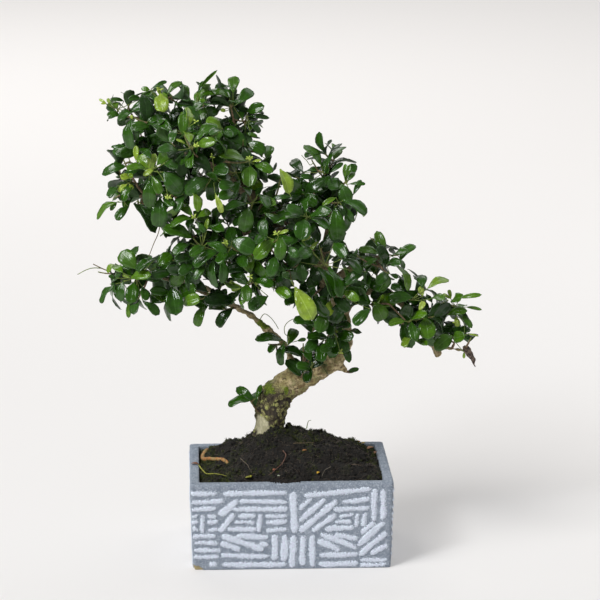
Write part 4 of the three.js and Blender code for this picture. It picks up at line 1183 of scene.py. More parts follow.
def blade_object(name, halves, fold, curl, wave, notch):
    """A leaf one unit long and one unit wide, from its foot along +X, face up"""
    top, where = [], []
    for row, (along, half) in enumerate(zip(BLADE_ROWS, halves)):
        for across in BLADE_COLUMNS:
            shrink = 1 - notch * (1 - abs(across)) - 0.035 * across**2 * (along > 0.95)
            x = along * shrink if row == len(BLADE_ROWS) - 1 else along
            y = 0.5 * half * across
            z = fold * half * 0.5 * (abs(across) ** 1.3) * (1 - 0.5 * along)
            z += curl * along**2.2 + 0.1 * math.sin(math.pi * along) ** 2
            z += wave * math.sin(9 * along + 2 * across) * abs(across)
            top.append((x, y, z))
            where.append((along, across))
    points = np.vstack([top, np.array(top) - (0, 0, BLADE_THICKNESS)])
    lengthwise, sideways = np.array(where * 2).T
    values = {"lengthwise": lengthwise, "sideways": sideways, "underside": np.repeat([0.0, 1.0], len(top))}
    faces = slab_faces(len(BLADE_ROWS), len(BLADE_COLUMNS))
    return bpy.data.objects.new(name, mesh_from(name, points / MM, faces, values))


blades = bpy.data.collections.new("blades")
for form, shape in BLADE_FORMS.items():
    blades.objects.link(blade_object("blade_" + form, *shape))

# Leafed: one blade at each point of a mesh, of the kind, turn and size that the point's values give
leafed, given, result = geometry_tree("leafed", {"Blades": ("Collection", None), "Finish": ("Material", None)})
kinds = node(
    leafed,
    "GeometryNodeCollectionInfo",
    {"Collection": given["Blades"], "Separate Children": True, "Reset Children": True},
)
placed = node(
    leafed,
    "GeometryNodeInstanceOnPoints",
    {
        "Points": given["Geometry"],
        "Instance": kinds.outputs[0],
        "Pick Instance": True,
        "Instance Index": field(leafed, "kind", "INT"),
        "Rotation": field(leafed, "turned", "FLOAT_VECTOR"),
        "Scale": field(leafed, "sized", "FLOAT_VECTOR"),
    },
)
end_tree(leafed, placed.outputs[0], given, result)

glossy, tree = new_material("glossy_leaf")
tone = attribute(tree, "tone")
hue = attribute(tree, "hue")
lengthwise, sideways = attribute(tree, "lengthwise"), attribute(tree, "sideways")
from_middle = node(tree, "ShaderNodeMath", {0: sideways}, operation="ABSOLUTE").outputs[0]
mottled = blotched(tree, size=5.0, low=0.35, high=0.65)
# The darkest green is both the colour of old leaves and a painted shade for leaves deep in the canopy's shadow.
old_and_shaded = blend(tree, hue, (0.009, 0.03, 0.003), (0.013, 0.037, 0.009))
mature = blend(tree, hue, (0.024, 0.09, 0.002), (0.032, 0.102, 0.01))
lively = blend(tree, hue, (0.078, 0.195, 0.004), (0.108, 0.235, 0.01))
young = blend(tree, hue, (0.3, 0.44, 0.03), (0.4, 0.52, 0.08))
colour = blend(tree, ramp_between(tree, tone, 0.0, 0.4), old_and_shaded, mature)
colour = blend(tree, ramp_between(tree, tone, 0.4, 0.72), colour, lively)
colour = blend(tree, ramp_between(tree, tone, 0.72, 1.0), colour, young)
darker = node(tree, "ShaderNodeHueSaturation", {"Color": colour, "Value": 0.72}).outputs[0]
colour = blend(tree, mottled, darker, colour)
slope = sum_of(tree, lengthwise, sum_of(tree, from_middle, 0.16, "MULTIPLY"), "SUBTRACT")
ribs = node(tree, "ShaderNodeMath", {0: sum_of(tree, slope, 44.0, "MULTIPLY")}, operation="SINE").outputs[0]
vein = ramp_between(tree, ribs, 0.8, 1.0)
midrib = ramp_between(tree, from_middle, 0.09, 0.02)
paler = node(tree, "ShaderNodeHueSaturation", {"Color": colour, "Saturation": 0.85, "Value": 1.7}).outputs[0]
lines = sum_of(tree, sum_of(tree, vein, 0.14, "MULTIPLY"), sum_of(tree, midrib, 0.5, "MULTIPLY"), clamp=True)
# A paler band along each leaf's edge is a painted highlight, as of light catching the rim.
edge_highlight = sum_of(tree, ramp_between(tree, from_middle, 0.86, 1.0), 0.3, "MULTIPLY")
colour = blend(tree, sum_of(tree, lines, edge_highlight, clamp=True), colour, paler)
below = node(tree, "ShaderNodeHueSaturation", {"Color": colour, "Saturation": 0.8, "Value": 1.5}).outputs[0]
colour = blend(tree, attribute(tree, "underside"), colour, below)
gloss = ramp_between(tree, hue, 0, 1, 0.05, 0.22)
dull_under = sum_of(tree, gloss, sum_of(tree, attribute(tree, "underside"), 0.3, "MULTIPLY"))
sunk = sum_of(tree, sum_of(tree, vein, 0.4, "MULTIPLY"), midrib, "ADD")
puckered = blotched(tree, size=5.5, low=0.25, high=0.75, shift=8.0)
relief = sum_of(tree, puckered, sum_of(tree, sunk, 0.4, "MULTIPLY"), "SUBTRACT")
principled(tree, Base_Color=colour, Roughness=dull_under, Specular_IOR_Level=0.46,
           Normal=bumped(tree, relief, 0.15))


def leaf_row(foot, axis, width_way, face, length, width, tone_share, kind_of):
    """The place, turn, size, tone and blade form of one leaf"""
    matrix = Matrix(np.array([axis, width_way, face]).T.tolist())
    return foot, matrix.to_euler("XYZ"), (length, width, length), tone_share, kind_of


# The tufts that show in front, placed by where they are seen in the picture. Each is its region, how far
# behind the pot's middle it is in millimetres, where its twig ends, and its leaves, each
# [foot across, foot down, tip across, tip down, width, tone], in pixels of the 600-pixel picture.
# A leaf that lies in shade is given a low tone here, so its shade is painted into its colour.
TUFTS = [
    ("crown", 4, (233, 106), [
        (233, 93, 234, 76.5, 12, 0.5), (237, 104, 252, 89, 12, 0.4), (231, 98, 206, 87.5, 8, 0.5),
        (230, 101, 221, 89, 8, 0.35), (226, 106, 204, 100, 8, 0.15), (219, 110, 203, 115, 12, 0.35),
        (226, 111, 220, 110, 4, 0.95), (243, 120, 237, 106, 9, 0.3)]),
    ("crown", 0, (247, 116), [
        (247, 112, 265, 106, 11, 0.4), (249, 116, 268, 116.5, 5, 0.2), (250, 122, 260, 132, 6, 0.15),
        (250, 131, 249, 120, 7, 0.68), (245, 133, 257, 136, 4, 0.5), (232, 127, 229, 117, 8, 0.4)]),
    ("crown", -14, (257, 151), [
        (266, 159, 270, 148, 10, 0.45), (248, 142, 265, 152, 12, 0.42), (247, 146, 227, 131, 13, 0.28),
        (262, 157, 260, 147, 6, 0.5), (252, 148, 262, 139, 9, 0.4)]),
    ("crown", -52, (249, 161), [
        (246, 160.5, 218, 153, 11, 0.58), (250, 166, 249, 186, 15, 0.5), (254, 164, 272, 171, 10, 0.5),
        (251, 162, 261, 160, 2.5, 0.95)]),
    ("crown", -80, (193, 147), [
        (190, 143, 187.5, 128, 9, 0.78), (197, 145.5, 216.5, 141, 10, 0.72), (186, 144, 176, 139, 2.5, 0.85),
        (195, 140, 216, 124, 11, 0.45), (222, 130, 211, 133, 7, 0.35), (178, 150, 161, 146, 9, 0.3)]),
    ("crown", -66, (184, 134), [
        (188.5, 127, 188, 108, 7.5, 0.82), (183, 136, 183, 114, 10, 0.5), (172, 131, 159, 122, 10, 0.38),
        (176, 129, 171, 141, 8, 0.3)]),
    ("crown", -20, (198, 100), [
        (196.5, 93, 217, 71, 3.5, 0.55), (198, 93, 204, 81, 5, 0.4), (197, 106, 203, 91, 8, 0.58),
        (199, 106, 204, 99, 6, 0.68), (207, 101, 196, 108, 7, 0.3)]),
    ("crown", 2, (180, 97), [
        (190, 98, 178, 83, 8.5, 0.5), (167, 94, 181, 81, 7.5, 0.5), (172, 97, 190, 102, 8, 0.25)]),
    ("crown", -12, (157, 97), [
        (160, 93, 162.5, 110, 14, 0.86), (151, 89, 167, 80.5, 4, 0.35), (150, 90, 142, 88, 5, 0.6),
        (158, 101, 147, 92, 9, 0.35), (160, 95, 158, 87, 4, 1.0), (163, 92, 166, 101, 6, 0.75)]),
    ("crown", 4, (118, 109), [
        (117, 110, 112, 101, 8, 0.72), (107, 104, 99, 99, 3, 1.0), (106, 104, 101, 103.5, 2, 1.0),
        (109, 104, 108, 98, 3.5, 0.85), (124, 101, 110, 99, 4, 0.4), (121, 115, 107, 114, 6, 0.45),
        (141, 98, 128, 99, 6, 0.25), (134, 112, 122, 113, 8, 0.3)]),
    ("crown", -24, (134, 117), [
        (131, 118, 129, 148, 11, 0.32), (150, 126, 131, 127, 10, 0.42), (133, 120, 136, 140, 9, 0.25),
        (132, 119, 131, 115, 3, 1.0)]),
    ("crown", -62, (150, 170), [
        (147, 168, 127, 167, 8, 0.55), (136, 161, 136, 146, 5.5, 0.88), (157, 165, 168, 153, 11, 0.52),
        (165, 163, 177, 169, 10, 0.32), (151, 159, 140, 148, 9, 0.35), (149, 180, 149.5, 206.5, 13, 0.42),
        (152, 176, 160, 192, 9, 0.5), (163, 172, 181, 192, 17, 0.32), (154, 169, 143.5, 175, 5.5, 0.86)]),
    ("crown", -14, (130, 161), [
        (127, 166, 103, 170, 10, 0.3), (129, 157, 114, 147, 13, 0.35), (124, 147, 112, 146, 3.5, 0.3),
        (138, 170, 125, 178, 9, 0.3)]),
    ("crown", -34, (129, 183), [
        (132, 179, 122, 177, 7, 0.98), (127, 184, 118.5, 191, 6, 0.92), (129, 184, 133, 189, 4, 0.9),
        (117, 186, 109, 196, 8, 0.35), (133, 184, 122, 199, 9, 0.45), (124, 178, 133, 175, 5, 0.8)]),
    ("crown", -22, (124, 201), [
        (118, 201.5, 95, 212, 7.5, 0.58), (117, 202, 110.5, 210, 4.5, 0.5), (128, 206, 116.5, 218.5, 9, 0.4),
        (126, 212, 129, 198, 9, 0.35)]),
    ("crown", -38, (138, 200), [(134, 203, 156, 230.5, 12, 0.08), (141, 204, 148, 212, 8, 0.12)]),
    ("crown", -58, (166, 194), [
        (160, 197, 159, 226, 16, 0.35), (163, 196, 172, 205, 9, 0.35), (184, 194, 176, 210, 9, 0.33)]),
    ("crown", -68, (213, 176), [
        (209, 178, 186, 191, 15, 0.33), (212, 172, 188, 156, 13, 0.15), (214, 168, 229, 173, 13, 0.22),
        (235, 184, 219, 186, 11, 0.35), (234, 192, 220, 197, 11, 0.42), (215, 193, 222, 212, 6, 0.92),
        (193, 192, 200, 204, 7, 0.76), (203, 190, 196, 180, 8, 0.2)]),
    ("crown", -36, (236, 172), [
        (228, 163, 211, 158, 11, 0.14), (229, 171, 214, 170, 11, 0.2), (232, 176, 217, 181, 10, 0.26),
        (236, 168, 228, 155, 10, 0.24), (241, 172, 238, 158, 9, 0.4), (240, 180, 232, 192, 9, 0.3)]),
    ("middle", -36, (316, 272), [
        (312, 266, 318, 279, 12, 0.2), (320, 272, 310, 285, 12, 0.26), (318, 282, 326, 296, 11, 0.2),
        (308, 270, 300, 281, 10, 0.24), (324, 262, 334, 256, 9, 0.4)]),
    ("crown", -52, (253, 202), [
        (250, 196, 244, 187, 8, 0.35), (257, 197, 264, 186, 8, 0.35), (246, 203, 225, 208, 9, 0.35),
        (249, 207, 244, 229, 15, 0.45), (258, 202, 276, 206, 9, 0.6), (258, 194, 268, 200, 7, 0.25)]),
    ("crown", -64, (195, 218), [
        (193, 218, 172, 220, 8, 0.5), (193, 216, 180, 203, 9, 0.52), (198, 217, 212, 209, 8, 0.62),
        (197, 222, 205, 232, 6, 0.35)]),
    ("middle", -66, (202, 246), [
        (193, 238, 163, 227, 13, 0.48), (190, 243, 174, 252, 9, 0.33), (192, 256, 175, 259, 9, 0.2),
        (205, 246, 191, 254, 10, 0.45), (219, 250, 193, 264, 12, 0.38), (207, 265, 194, 277, 8, 0.45),
        (193, 264, 180, 273, 10, 0.25), (207, 243, 224, 248, 9, 0.35), (205, 232, 208, 219, 4, 0.86),
        (203, 230, 199, 224, 3, 0.86), (208, 226, 222, 230, 9, 0.4), (200, 236, 193, 224, 7, 0.33),
        (214, 258, 210, 285, 9, 0.4), (222, 258, 223, 282, 9, 0.42)]),
    ("middle", -74, (231, 246), [
        (232, 240, 255, 250, 17, 0.38), (227, 247, 225, 239, 4, 0.88), (228, 252, 218, 262, 9, 0.3)]),
    ("middle", -76, (277, 240), [
        (274, 239, 255, 258, 13, 0.62), (281, 237, 280, 255, 12, 0.5), (276, 256, 271, 272, 12, 0.35),
        (279, 234, 288.5, 230, 3.5, 0.88), (266, 236, 257, 244, 9, 0.35), (285, 246, 297, 256, 9, 0.35)]),
    ("middle", -66, (250, 279), [
        (250.5, 274, 246, 256, 14, 0.6), (248, 284, 233, 271, 12, 0.35), (253, 280, 272, 284, 10, 0.42),
        (275, 288, 287, 294.5, 11, 0.6), (268, 296, 249, 308, 13, 0.28), (246, 284, 247, 299, 11, 0.5),
        (247, 299, 240, 304, 4, 0.62), (257, 285, 257, 281, 4, 0.9)]),
    ("middle", -84, (293, 284), [(295, 287, 311.5, 318, 18, 0.9), (291, 281, 281, 276, 8, 0.45)]),
    ("middle", -60, (322, 315), [(315, 324, 293, 319, 10, 0.38), (325, 312, 319, 332, 14, 0.48)]),
    ("middle", -50, (334, 292), [
        (344, 291, 355, 297, 9, 0.72), (345, 300, 332, 322, 14, 0.15), (333, 297, 349, 310, 12, 0.15),
        (370, 309, 354.5, 323, 11, 0.38)]),
    ("middle", -56, (325, 265), [
        (318, 267, 332, 297, 12, 0.4), (329, 267, 342, 296, 11, 0.4), (366, 272, 344, 280, 10, 0.2),
        (311, 249, 299, 258, 13, 0.35), (318, 241, 310, 250, 4, 0.85), (302, 241, 310.5, 235, 5, 0.88),
        (300, 262, 303, 281, 11, 0.3), (334, 243, 345, 257, 12, 0.38), (342, 258.5, 361, 267, 9, 0.28)]),
    ("middle", -40, (330, 330), [
        (336, 334, 351, 337, 11, 0.42), (336, 327, 352, 327, 8, 0.22), (334, 345, 322, 350, 10, 0.45),
        (335, 318, 330, 333, 9, 0.2), (335, 332, 332, 344, 8, 0.3), (339, 337, 330, 356, 13, 0.36)]),
    ("lobe", -4, (323, 172), [
        (322, 166, 305.5, 145, 9.5, 0.5), (326, 166, 343.5, 144.5, 7, 0.4), (324.5, 174, 329, 157, 7, 0.22),
        (303, 172, 292, 160, 11, 0.1), (330, 173, 343, 162.5, 5, 0.4), (315, 178, 300, 176, 6, 0.3)]),
    ("lobe", -12, (346, 183), [
        (344.5, 178, 345.5, 164.5, 5, 0.62), (348, 181, 354.5, 171.5, 5, 0.52), (349, 184, 365, 183.5, 4, 0.4),
        (353, 195, 361, 180, 6, 0.4), (341, 184, 348, 202, 14, 0.45), (347, 177, 350, 165, 4.5, 0.55)]),
    ("lobe", -26, (339, 202), [
        (343, 200, 367, 211.5, 11, 0.4), (346, 208, 353.5, 221, 6, 0.42), (336, 197.5, 322, 205.5, 5, 0.78),
        (335, 207, 338, 242, 17, 0.45), (343, 208, 350.5, 228, 8, 0.38)]),
    ("lobe", -54, (307, 216), [
        (303, 216, 272, 218, 11, 0.42), (304, 214, 287, 206, 9, 0.42), (306, 212, 308, 196, 8, 0.4),
        (310, 216, 331, 210, 10, 0.38), (311, 218, 328, 226, 9, 0.38), (305, 219, 301, 239, 17, 0.36),
        (264, 213, 284, 224, 6, 0.38)]),
    ("lobe", -48, (282, 172), [(280, 169, 288, 193.5, 11, 0.88), (291, 197, 274, 197, 5, 0.38)]),
    ("shoulder", -14, (384, 258), [
        (384, 253, 377, 232.5, 10.5, 0.52), (380, 254, 358, 248.5, 8.5, 0.52), (392, 256, 407, 250.5, 7, 0.42),
        (399, 261, 413.5, 243.5, 9.5, 0.42), (386, 264, 399, 262, 9, 0.28), (396, 264, 410.5, 288, 8, 0.68),
        (390, 274, 398, 277.5, 4.5, 0.3), (378, 258, 362, 263, 9, 0.42), (366, 283, 386, 289, 11, 0.33),
        (366, 268, 350, 262, 9, 0.22), (384, 252, 374, 240, 5, 0.2)]),
    ("right", -16, (411, 300), [
        (405, 293, 392, 285, 9, 0.28), (413, 297, 388, 298, 12, 0.33), (422, 288, 422, 273.5, 10.5, 0.33),
        (428, 288, 447.5, 275, 9, 0.72), (423, 296, 420, 287, 6, 0.88), (430, 299, 444, 301, 8, 0.45)]),
    ("right", -4, (456, 306), [
        (451, 299, 443, 294, 3.5, 0.76), (451, 299, 449, 290, 4, 0.74), (451, 302, 461, 297, 9, 0.45),
        (459, 298, 481, 294.5, 5, 0.6), (457, 312, 465, 303, 7, 0.42), (448, 315, 463, 308, 8, 0.45),
        (466, 307, 481.5, 310, 3.5, 0.5), (462, 314.5, 471.5, 327, 6, 0.42), (456, 317, 458, 326, 6, 0.95)]),
    ("right", -22, (377, 304), [(374, 302, 383, 319, 16, 0.48), (371, 301, 360, 300, 11, 0.25)]),
    ("right", -20, (411, 320), [
        (411, 320, 426, 313, 8, 0.6), (419, 311, 424, 301.5, 6, 0.86), (405, 321, 388, 326, 8, 0.62),
        (411, 322, 415, 338, 11, 0.36), (425, 318, 428, 336, 17, 0.5), (411, 337, 404, 345, 7, 0.74),
        (415, 341, 426, 346, 8, 0.5)]),
    ("right", -10, (452, 337), [
        (452, 335, 438, 346, 14, 0.42), (453, 339, 466, 336, 12, 0.45), (468, 334, 478, 335.5, 2, 0.8),
        (464, 352, 464, 358, 3, 0.75)]),
    ("left", -46, (136, 277), [
        (137, 269, 121, 252, 17, 0.52), (123, 273, 113, 266, 9, 0.74), (155, 259, 137, 268, 8, 0.25),
        (131, 278, 146, 272, 10, 0.7), (131, 279, 122, 274, 3.5, 0.86), (116, 278, 108, 276, 4, 0.35),
        (115.5, 284, 100.5, 301, 7, 0.42), (123, 281, 120, 300, 9, 0.4), (134, 282, 131, 301, 13, 0.45),
        (128.5, 301, 128.5, 317, 5, 0.68), (138, 300, 134, 311, 9, 0.35), (143, 301, 159, 314, 9, 0.3),
        (143, 287, 145, 297, 8, 0.4), (156, 267, 171, 254, 12, 0.5), (172, 272, 150, 277, 10, 0.15)]),
    ("left", -40, (172, 288), [
        (171, 293, 150, 290, 9, 0.38), (163, 302, 152, 294, 7, 0.6), (172, 287, 176, 314, 18, 0.3),
        (183, 304, 199, 297, 12, 0.66)]),
    ("left", -34, (208, 296), [
        (236, 300, 203, 301, 14, 0.05), (233, 308, 217, 325, 11, 0.1), (205, 305, 196, 325, 10, 0.52),
        (208, 292, 190, 280, 11, 0.12), (224, 303, 214, 292, 12, 0.08)]),
    ("low", -32, (324, 340), [
        (318, 338, 306, 352, 11, 0.4), (322, 342, 321, 358, 12, 0.33), (330, 340, 336, 354, 10, 0.38),
        (340, 336, 346, 350, 10, 0.42), (314, 346, 322, 352, 9, 0.25), (341, 347, 349, 355, 7, 0.35)]),
    ("low", -16, (285, 342), [
        (283, 340, 255, 338, 10, 0.3), (284, 342, 280, 364, 9, 0.35), (277, 345, 270, 353, 7, 0.35),
        (288, 345, 295, 329, 11, 0.5), (297, 341, 306, 339, 4, 0.5)]),
    ("low", -32, (312, 366), [
        (312, 362, 303, 348, 10, 0.4), (312, 370, 297, 364, 9, 0.45), (311, 369, 307, 380, 9, 0.12),
        (329, 338, 306, 339, 9, 0.42)]),
    ("low", -10, (254, 399), [
        (254, 400, 237, 388, 10, 0.42), (253, 399, 228, 404, 9, 0.35), (256, 398, 261, 385, 5, 0.5)]),
    ("low", -8, (346, 372), [(347, 372, 358, 368.5, 5, 0.35)]),
]
PICTURE = {"side": 600, "scale": 1.045}
# Leaves seen narrower than this are young and lie flat to the eye. The others are drawn fuller and turned.
YOUNG_WIDTH = 6.5
SEEN_LEAF = {"longer": 1.04, "shortest": 17, "longest": 23, "slimmest": 0.42, "broadest": 0.5}
FOCAL = camera.data.lens / camera.data.sensor_width * PICTURE["side"]
camera_turn = camera.rotation_euler.to_matrix()


def seen_at(across, down, depth):
    """The place that shows at a pixel of the picture, that far behind the pot's middle"""
    middle = PICTURE["side"] / 2
    ray = camera_turn @ Vector(((across - middle) / FOCAL, (middle - down) / FOCAL, -1))
    reach = (depth * MM - CAMERA_PLACE[1]) / ray.y
    return (np.array(CAMERA_PLACE) + reach * np.array(ray)) / MM


def shown_at(place):
    """The pixel of the picture at which a place shows"""
    x, y, z = camera_turn.transposed() @ (Vector(place * MM) - Vector(CAMERA_PLACE))
    return PICTURE["side"] / 2 + FOCAL * np.array([x, -y]) / -z


TO_EYE = unit(np.array([-0.04, -1, 0.22]))


def placed_leaf(depth, leaf, draw):
    """A leaf that is seen from its foot to its tip as the table says, and as wide"""
    foot_across, foot_down, tip_across, tip_down, seen_width, tone_share = leaf
    foot = seen_at(foot_across, foot_down, depth)
    flat = np.linalg.norm(seen_at(tip_across, tip_down, depth) - foot)
    young = seen_width < YOUNG_WIDTH
    length = flat * SEEN_LEAF["longer"]
    if not young:
        length = max(length, mix(SEEN_LEAF["shortest"], SEEN_LEAF["longest"], chance(draw, 1)))
    toward = 1 if foot_down - tip_down > 0.5 * abs(foot_across - tip_across) else -1
    reach = toward * min(math.sqrt(length**2 - flat**2), 0.75 * length)
    axis = unit(seen_at(tip_across, tip_down, depth + reach) - foot)
    face = TO_EYE + 0.2 * UP
    face = unit(face - axis * face.dot(axis))
    width = seen_width / PICTURE["scale"]
    full = max(width, length * mix(SEEN_LEAF["slimmest"], SEEN_LEAF["broadest"], chance(draw, 2)))
    whole_width = width if young else full
    roll = math.acos(width / whole_width)
    turned_face = [face * math.cos(roll) + np.cross(axis, face) * math.sin(roll) * way for way in (1, -1)]
    face = max(turned_face, key=lambda option: option[2])
    kind_of = int(5 * chance(draw, 3)) % 5
    return leaf_row(foot, axis, np.cross(face, axis), face, length, whole_width, tone_share, kind_of)


def spray_leaves(spray, curves):
    """The leaves of a spray, several to a twig, closest together at its end"""
    for tip, curve in enumerate(curves):
        shares = np.linspace(0, 1, 24)
        path = np.array([curve(t) for t in shares])
        twig_length = np.linalg.norm(np.diff(path, axis=0), axis=1).sum()
        count = max(LEAVES_TO_TWIG["fewest"], int(twig_length / LEAVES_TO_TWIG["spacing"]))
        count = min(LEAVES_TO_TWIG["most"], count)
        young_end = chance(spray, tip, 11) > 0.72
        for half in range(1, count + 1):
            leaf = 0.5 + half / 2
            foot, axis, width_way, face = leaf_pose(curve, spray, tip, leaf)
            length = mix(LEAF["shortest"], LEAF["longest"], chance(spray, tip, leaf, 3))
            width = length * mix(LEAF["slimmest"], LEAF["broadest"], chance(spray, tip, leaf, 4))
            if leaf % 1:
                length, width = length * mix(0.68, 0.98, chance(spray, tip, leaf, 5)), width * 0.92
            tone_share = 0.06 + 0.46 * chance(spray, tip, leaf, 6) ** 1.2
            if young_end and leaf <= 1.5:
                tone_share = 0.62 + 0.3 * chance(spray, tip, leaf, 8)
                length, width = length * 0.85, width * 0.85
            kind_of = int(6 * chance(spray, tip, leaf, 9)) % 6
            yield leaf_row(foot, axis, width_way, face, length, width, tone_share, kind_of)


def leaf_piece(name, rows):
    """One piece of all the leaves in a list of rows"""
    mesh = bpy.data.meshes.new(name + "_seats")
    mesh.from_pydata([tuple(float(part) * MM for part in row[0]) for row in rows], [], [])
    give_values(mesh, {
        "turned": [tuple(row[1]) for row in rows],
        "sized": [tuple(part * MM for part in row[2]) for row in rows],
        "tone": [row[3] for row in rows],
        "hue": [chance(index, 31) for index in range(len(rows))],
        "kind": [row[4] for row in rows],
    })
    made = grown(leafed, mesh, name, Blades=blades, Finish=glossy)
    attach(made, "root")
    return made


# Wood that a tuft's own twig can grow from: the limbs beyond their roots and the sprays' twigs
wood_places = np.array(
    [curve(t) for curve in limb_curves.values() for t in np.linspace(0.05, 1, 40)]
    + [curve(t) for curves in spray_curves.values() for curve in curves for t in np.linspace(0, 0.9, 8)]
)
TONE_SHIFT = {"right": 0.1, "shoulder": 0.04, "crown": 0.03}
TUFT_TWIG = {"foot": 1.1, "end": 0.75, "green_end": 0.7, "steps": 10}
STALK = {"shares": (0, 0.35, 0.7, 1), "sag": 0.8, "radii": (0.42, 0.36, 0.34, 0.42), "green": (0.6, 0.8, 0.9, 1)}
tuft_rows, tuft_runs, seen_leaves = {}, [], []


def nearest(places, spot):
    return places[np.argmin(np.linalg.norm(places - spot, axis=1))]


def tuft_twig(middle):
    """The twig from the nearest wood to the middle of a tuft, which joins the tufts' stems"""
    twig = twig_curve(nearest(wood_places, middle), middle)
    shares = np.linspace(0, 1, TUFT_TWIG["steps"])
    greenness = np.linspace(0, TUFT_TWIG["green_end"], TUFT_TWIG["steps"])
    path = np.array([twig(t) for t in shares])
    tuft_runs.append((path, mix(TUFT_TWIG["foot"], TUFT_TWIG["end"], shares), greenness))
    return twig


for number, (region, depth, centre, leaves) in enumerate(TUFTS):
    middle = seen_at(*centre, depth)
    tuft_twig(middle)
    for index, leaf in enumerate(leaves):
        leaf = (*leaf[:5], leaf[5] + TONE_SHIFT.get(region, 0))
        row = placed_leaf(depth - 1.2 * (index % 4), leaf, number + index / 20)
        tuft_rows.setdefault(region, []).append(row)
        seen_leaves.append(((leaf[0] + leaf[2]) / 2, (leaf[1] + leaf[3]) / 2, depth))
        stalk = [mix(middle, row[0], t) - STALK["sag"] * math.sin(math.pi * t) * UP for t in STALK["shares"]]
        tuft_runs.append((np.array(stalk), STALK["radii"], STALK["green"]))
seen_leaves = np.array(seen_leaves)

# Tufts that fill the canopy behind, each [region, across, down, depth]. They are darker, a painted shade.
FILLERS = [
    ("crown", 129, 105, 14), ("crown", 178, 103, 0), ("crown", 228, 101, 14), ("crown", 217, 93, 10),
    ("crown", 241, 111, 16), ("crown", 245, 127, 6), ("crown", 266, 176, 0), ("middle", 283, 204, -6),
    ("crown", 227, 222, -10), ("left", 222, 284, -10), ("shoulder", 377, 273, 6), ("crown", 141, 197, -6),
    ("crown", 150, 150, -10), ("crown", 205, 165, -10), ("crown", 172, 125, -6), ("middle", 262, 235, -10),
    ("middle", 232, 262, -10), ("lobe", 324, 152, 6), ("right", 408, 310, -4), ("middle", 300, 300, -10),
    ("crown", 252, 176, -10), ("crown", 118, 160, 4),
]
FILLER = {"leaves": 7, "first_draw": 80, "shortest": 16, "longest": 21, "slimness": 0.52}
for number, (region, across, down, depth) in enumerate(FILLERS):
    twig = tuft_twig(seen_at(across, down, depth))
    for leaf in range(FILLER["leaves"]):
        pose = leaf_pose(twig, FILLER["first_draw"] + number, 0, leaf + 0.5)
        length = mix(FILLER["shortest"], FILLER["longest"], chance(number, leaf, 61))
        # Their low tones paint the shade inside the canopy.
        tone_share = 0.05 + 0.35 * chance(number, leaf, 62)
        row = leaf_row(*pose, length, length * FILLER["slimness"], tone_share, leaf % 5)
        tuft_rows.setdefault(region, []).append(row)
CLEAR_VIEW = 10
# Where the picture shows air past the canopy's edge, or the bare trunk, pixels across and down
OPEN_PLACES = np.array([
    (98, 262), (106, 286), (92, 275), (112, 256), (100, 296), (88, 266), (84, 284), (117, 127), (104, 184),
    (98, 192), (130, 224), (268, 141), (302, 153), (350, 156), (363, 196), (358, 232), (367, 240), (349, 243),
    (352, 228), (323, 231), (398, 236), (412, 238), (455, 287), (440, 284), (476, 301), (483, 338), (491, 341),
    (394, 334), (402, 344), (421, 357), (389, 327), (356, 312), (356, 345), (364, 360), (360, 378), (252, 345),
    (258, 360), (268, 370), (262, 352), (205, 317), (250, 413), (300, 392), (316, 384), (160, 245), (263, 423),
    (262, 408), (272, 398), (266, 388), (280, 385), (296, 380), (312, 388), (325, 374), (272, 330), (258, 380),
    (244, 424), (270, 412), (340, 374), (252, 432), (250, 440), (257, 428), (345, 362), (342, 356),
])
OPEN_REACH = 8.5


def in_the_way(row):
    """Whether a leaf would hide a placed tuft from the front, or stand where the picture shows none"""
    axis = np.array(row[1].to_matrix().col[0])
    for share in (0.5, 0.85):
        point = row[0] + share * row[2][0] * axis
        across, down = shown_at(point)
        close = np.hypot(seen_leaves[:, 0] - across, seen_leaves[:, 1] - down) < CLEAR_VIEW
        if share == 0.5 and np.any(close & (point[1] < seen_leaves[:, 2] + 10)):
            return True
        if np.any(np.hypot(OPEN_PLACES[:, 0] - across, OPEN_PLACES[:, 1] - down) < OPEN_REACH):
            return True
    return False


regions = {}
for spray, (name, curves) in enumerate(spray_curves.items()):
    region = name.split("_")[0]
    regions.setdefault(region, (list(tuft_rows.get(region, [])), []))
    regions[region][0].extend(row for row in spray_leaves(spray, curves) if not in_the_way(row))
    regions[region][1].append("spray_" + name)
for region, (rows, nodes) in regions.items():
    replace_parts(leaf_piece("leaves_" + region, rows), *nodes)

# Flower stalks, leaf stalks and bare shoots, each a line of places in the picture with its depth, its
# thickness and how green it is
SHOOTS = [
    (-70, 0.5, 1, [(157, 171), (161, 176), (165, 184), (168, 196)]),
    (-32, 0.5, 0.2, [(160, 226), (158, 234), (154, 243), (149, 256)]),
    (-20, 0.6, 0.1, [(118, 276), (108, 271), (101, 268), (93, 264)]),
    (-20, 0.45, 0.9, [(101, 268), (93, 268), (86, 270), (77.5, 274.5)]),
    (-14, 0.4, 0.8, [(264, 314), (270, 317), (275, 323), (278.5, 329)]),
    (-24, 0.4, 0.8, [(289, 337), (285, 334), (284.5, 327), (288, 322), (293, 319)]),
    (-50, 0.5, 1, [(334, 333), (336, 338), (338, 344), (340, 353)]),
    (-14, 0.5, 0.4, [(381, 250), (378, 246), (374, 241), (370, 237.5)]),
    (-20, 1.0, 0.0, [(388, 304), (394, 309), (400, 315), (405, 320)]),
    (-8, 0.4, 0.8, [(457, 316), (461, 319), (464, 324), (464.5, 333)]),
    (-4, 0.4, 0.8, [(310, 165), (307, 161), (304, 158), (301.5, 155)]),
    (-74, 0.6, 1, [(251, 282), (250, 279), (250.5, 275)]),
]
SHOOT_STEPS = 16
# Each cluster of buds is [across, down, depth, how many buds].
BUD_CLUSTERS = [(196, 146, -86, 9), (249, 159, -58, 9), (168, 198, -71, 10), (196, 122, -72, 4),
                (276.5, 234, -80, 7), (226, 243, -80, 4), (193.5, 217.5, -70, 5), (340, 353, -50, 4),
                (212, 157, -75, 3), (456, 322, -12, 5), (159, 90, -14, 3), (250, 277, -76, 4)]
carriers = np.concatenate([wood_places] + [run[0] for run in tuft_runs])


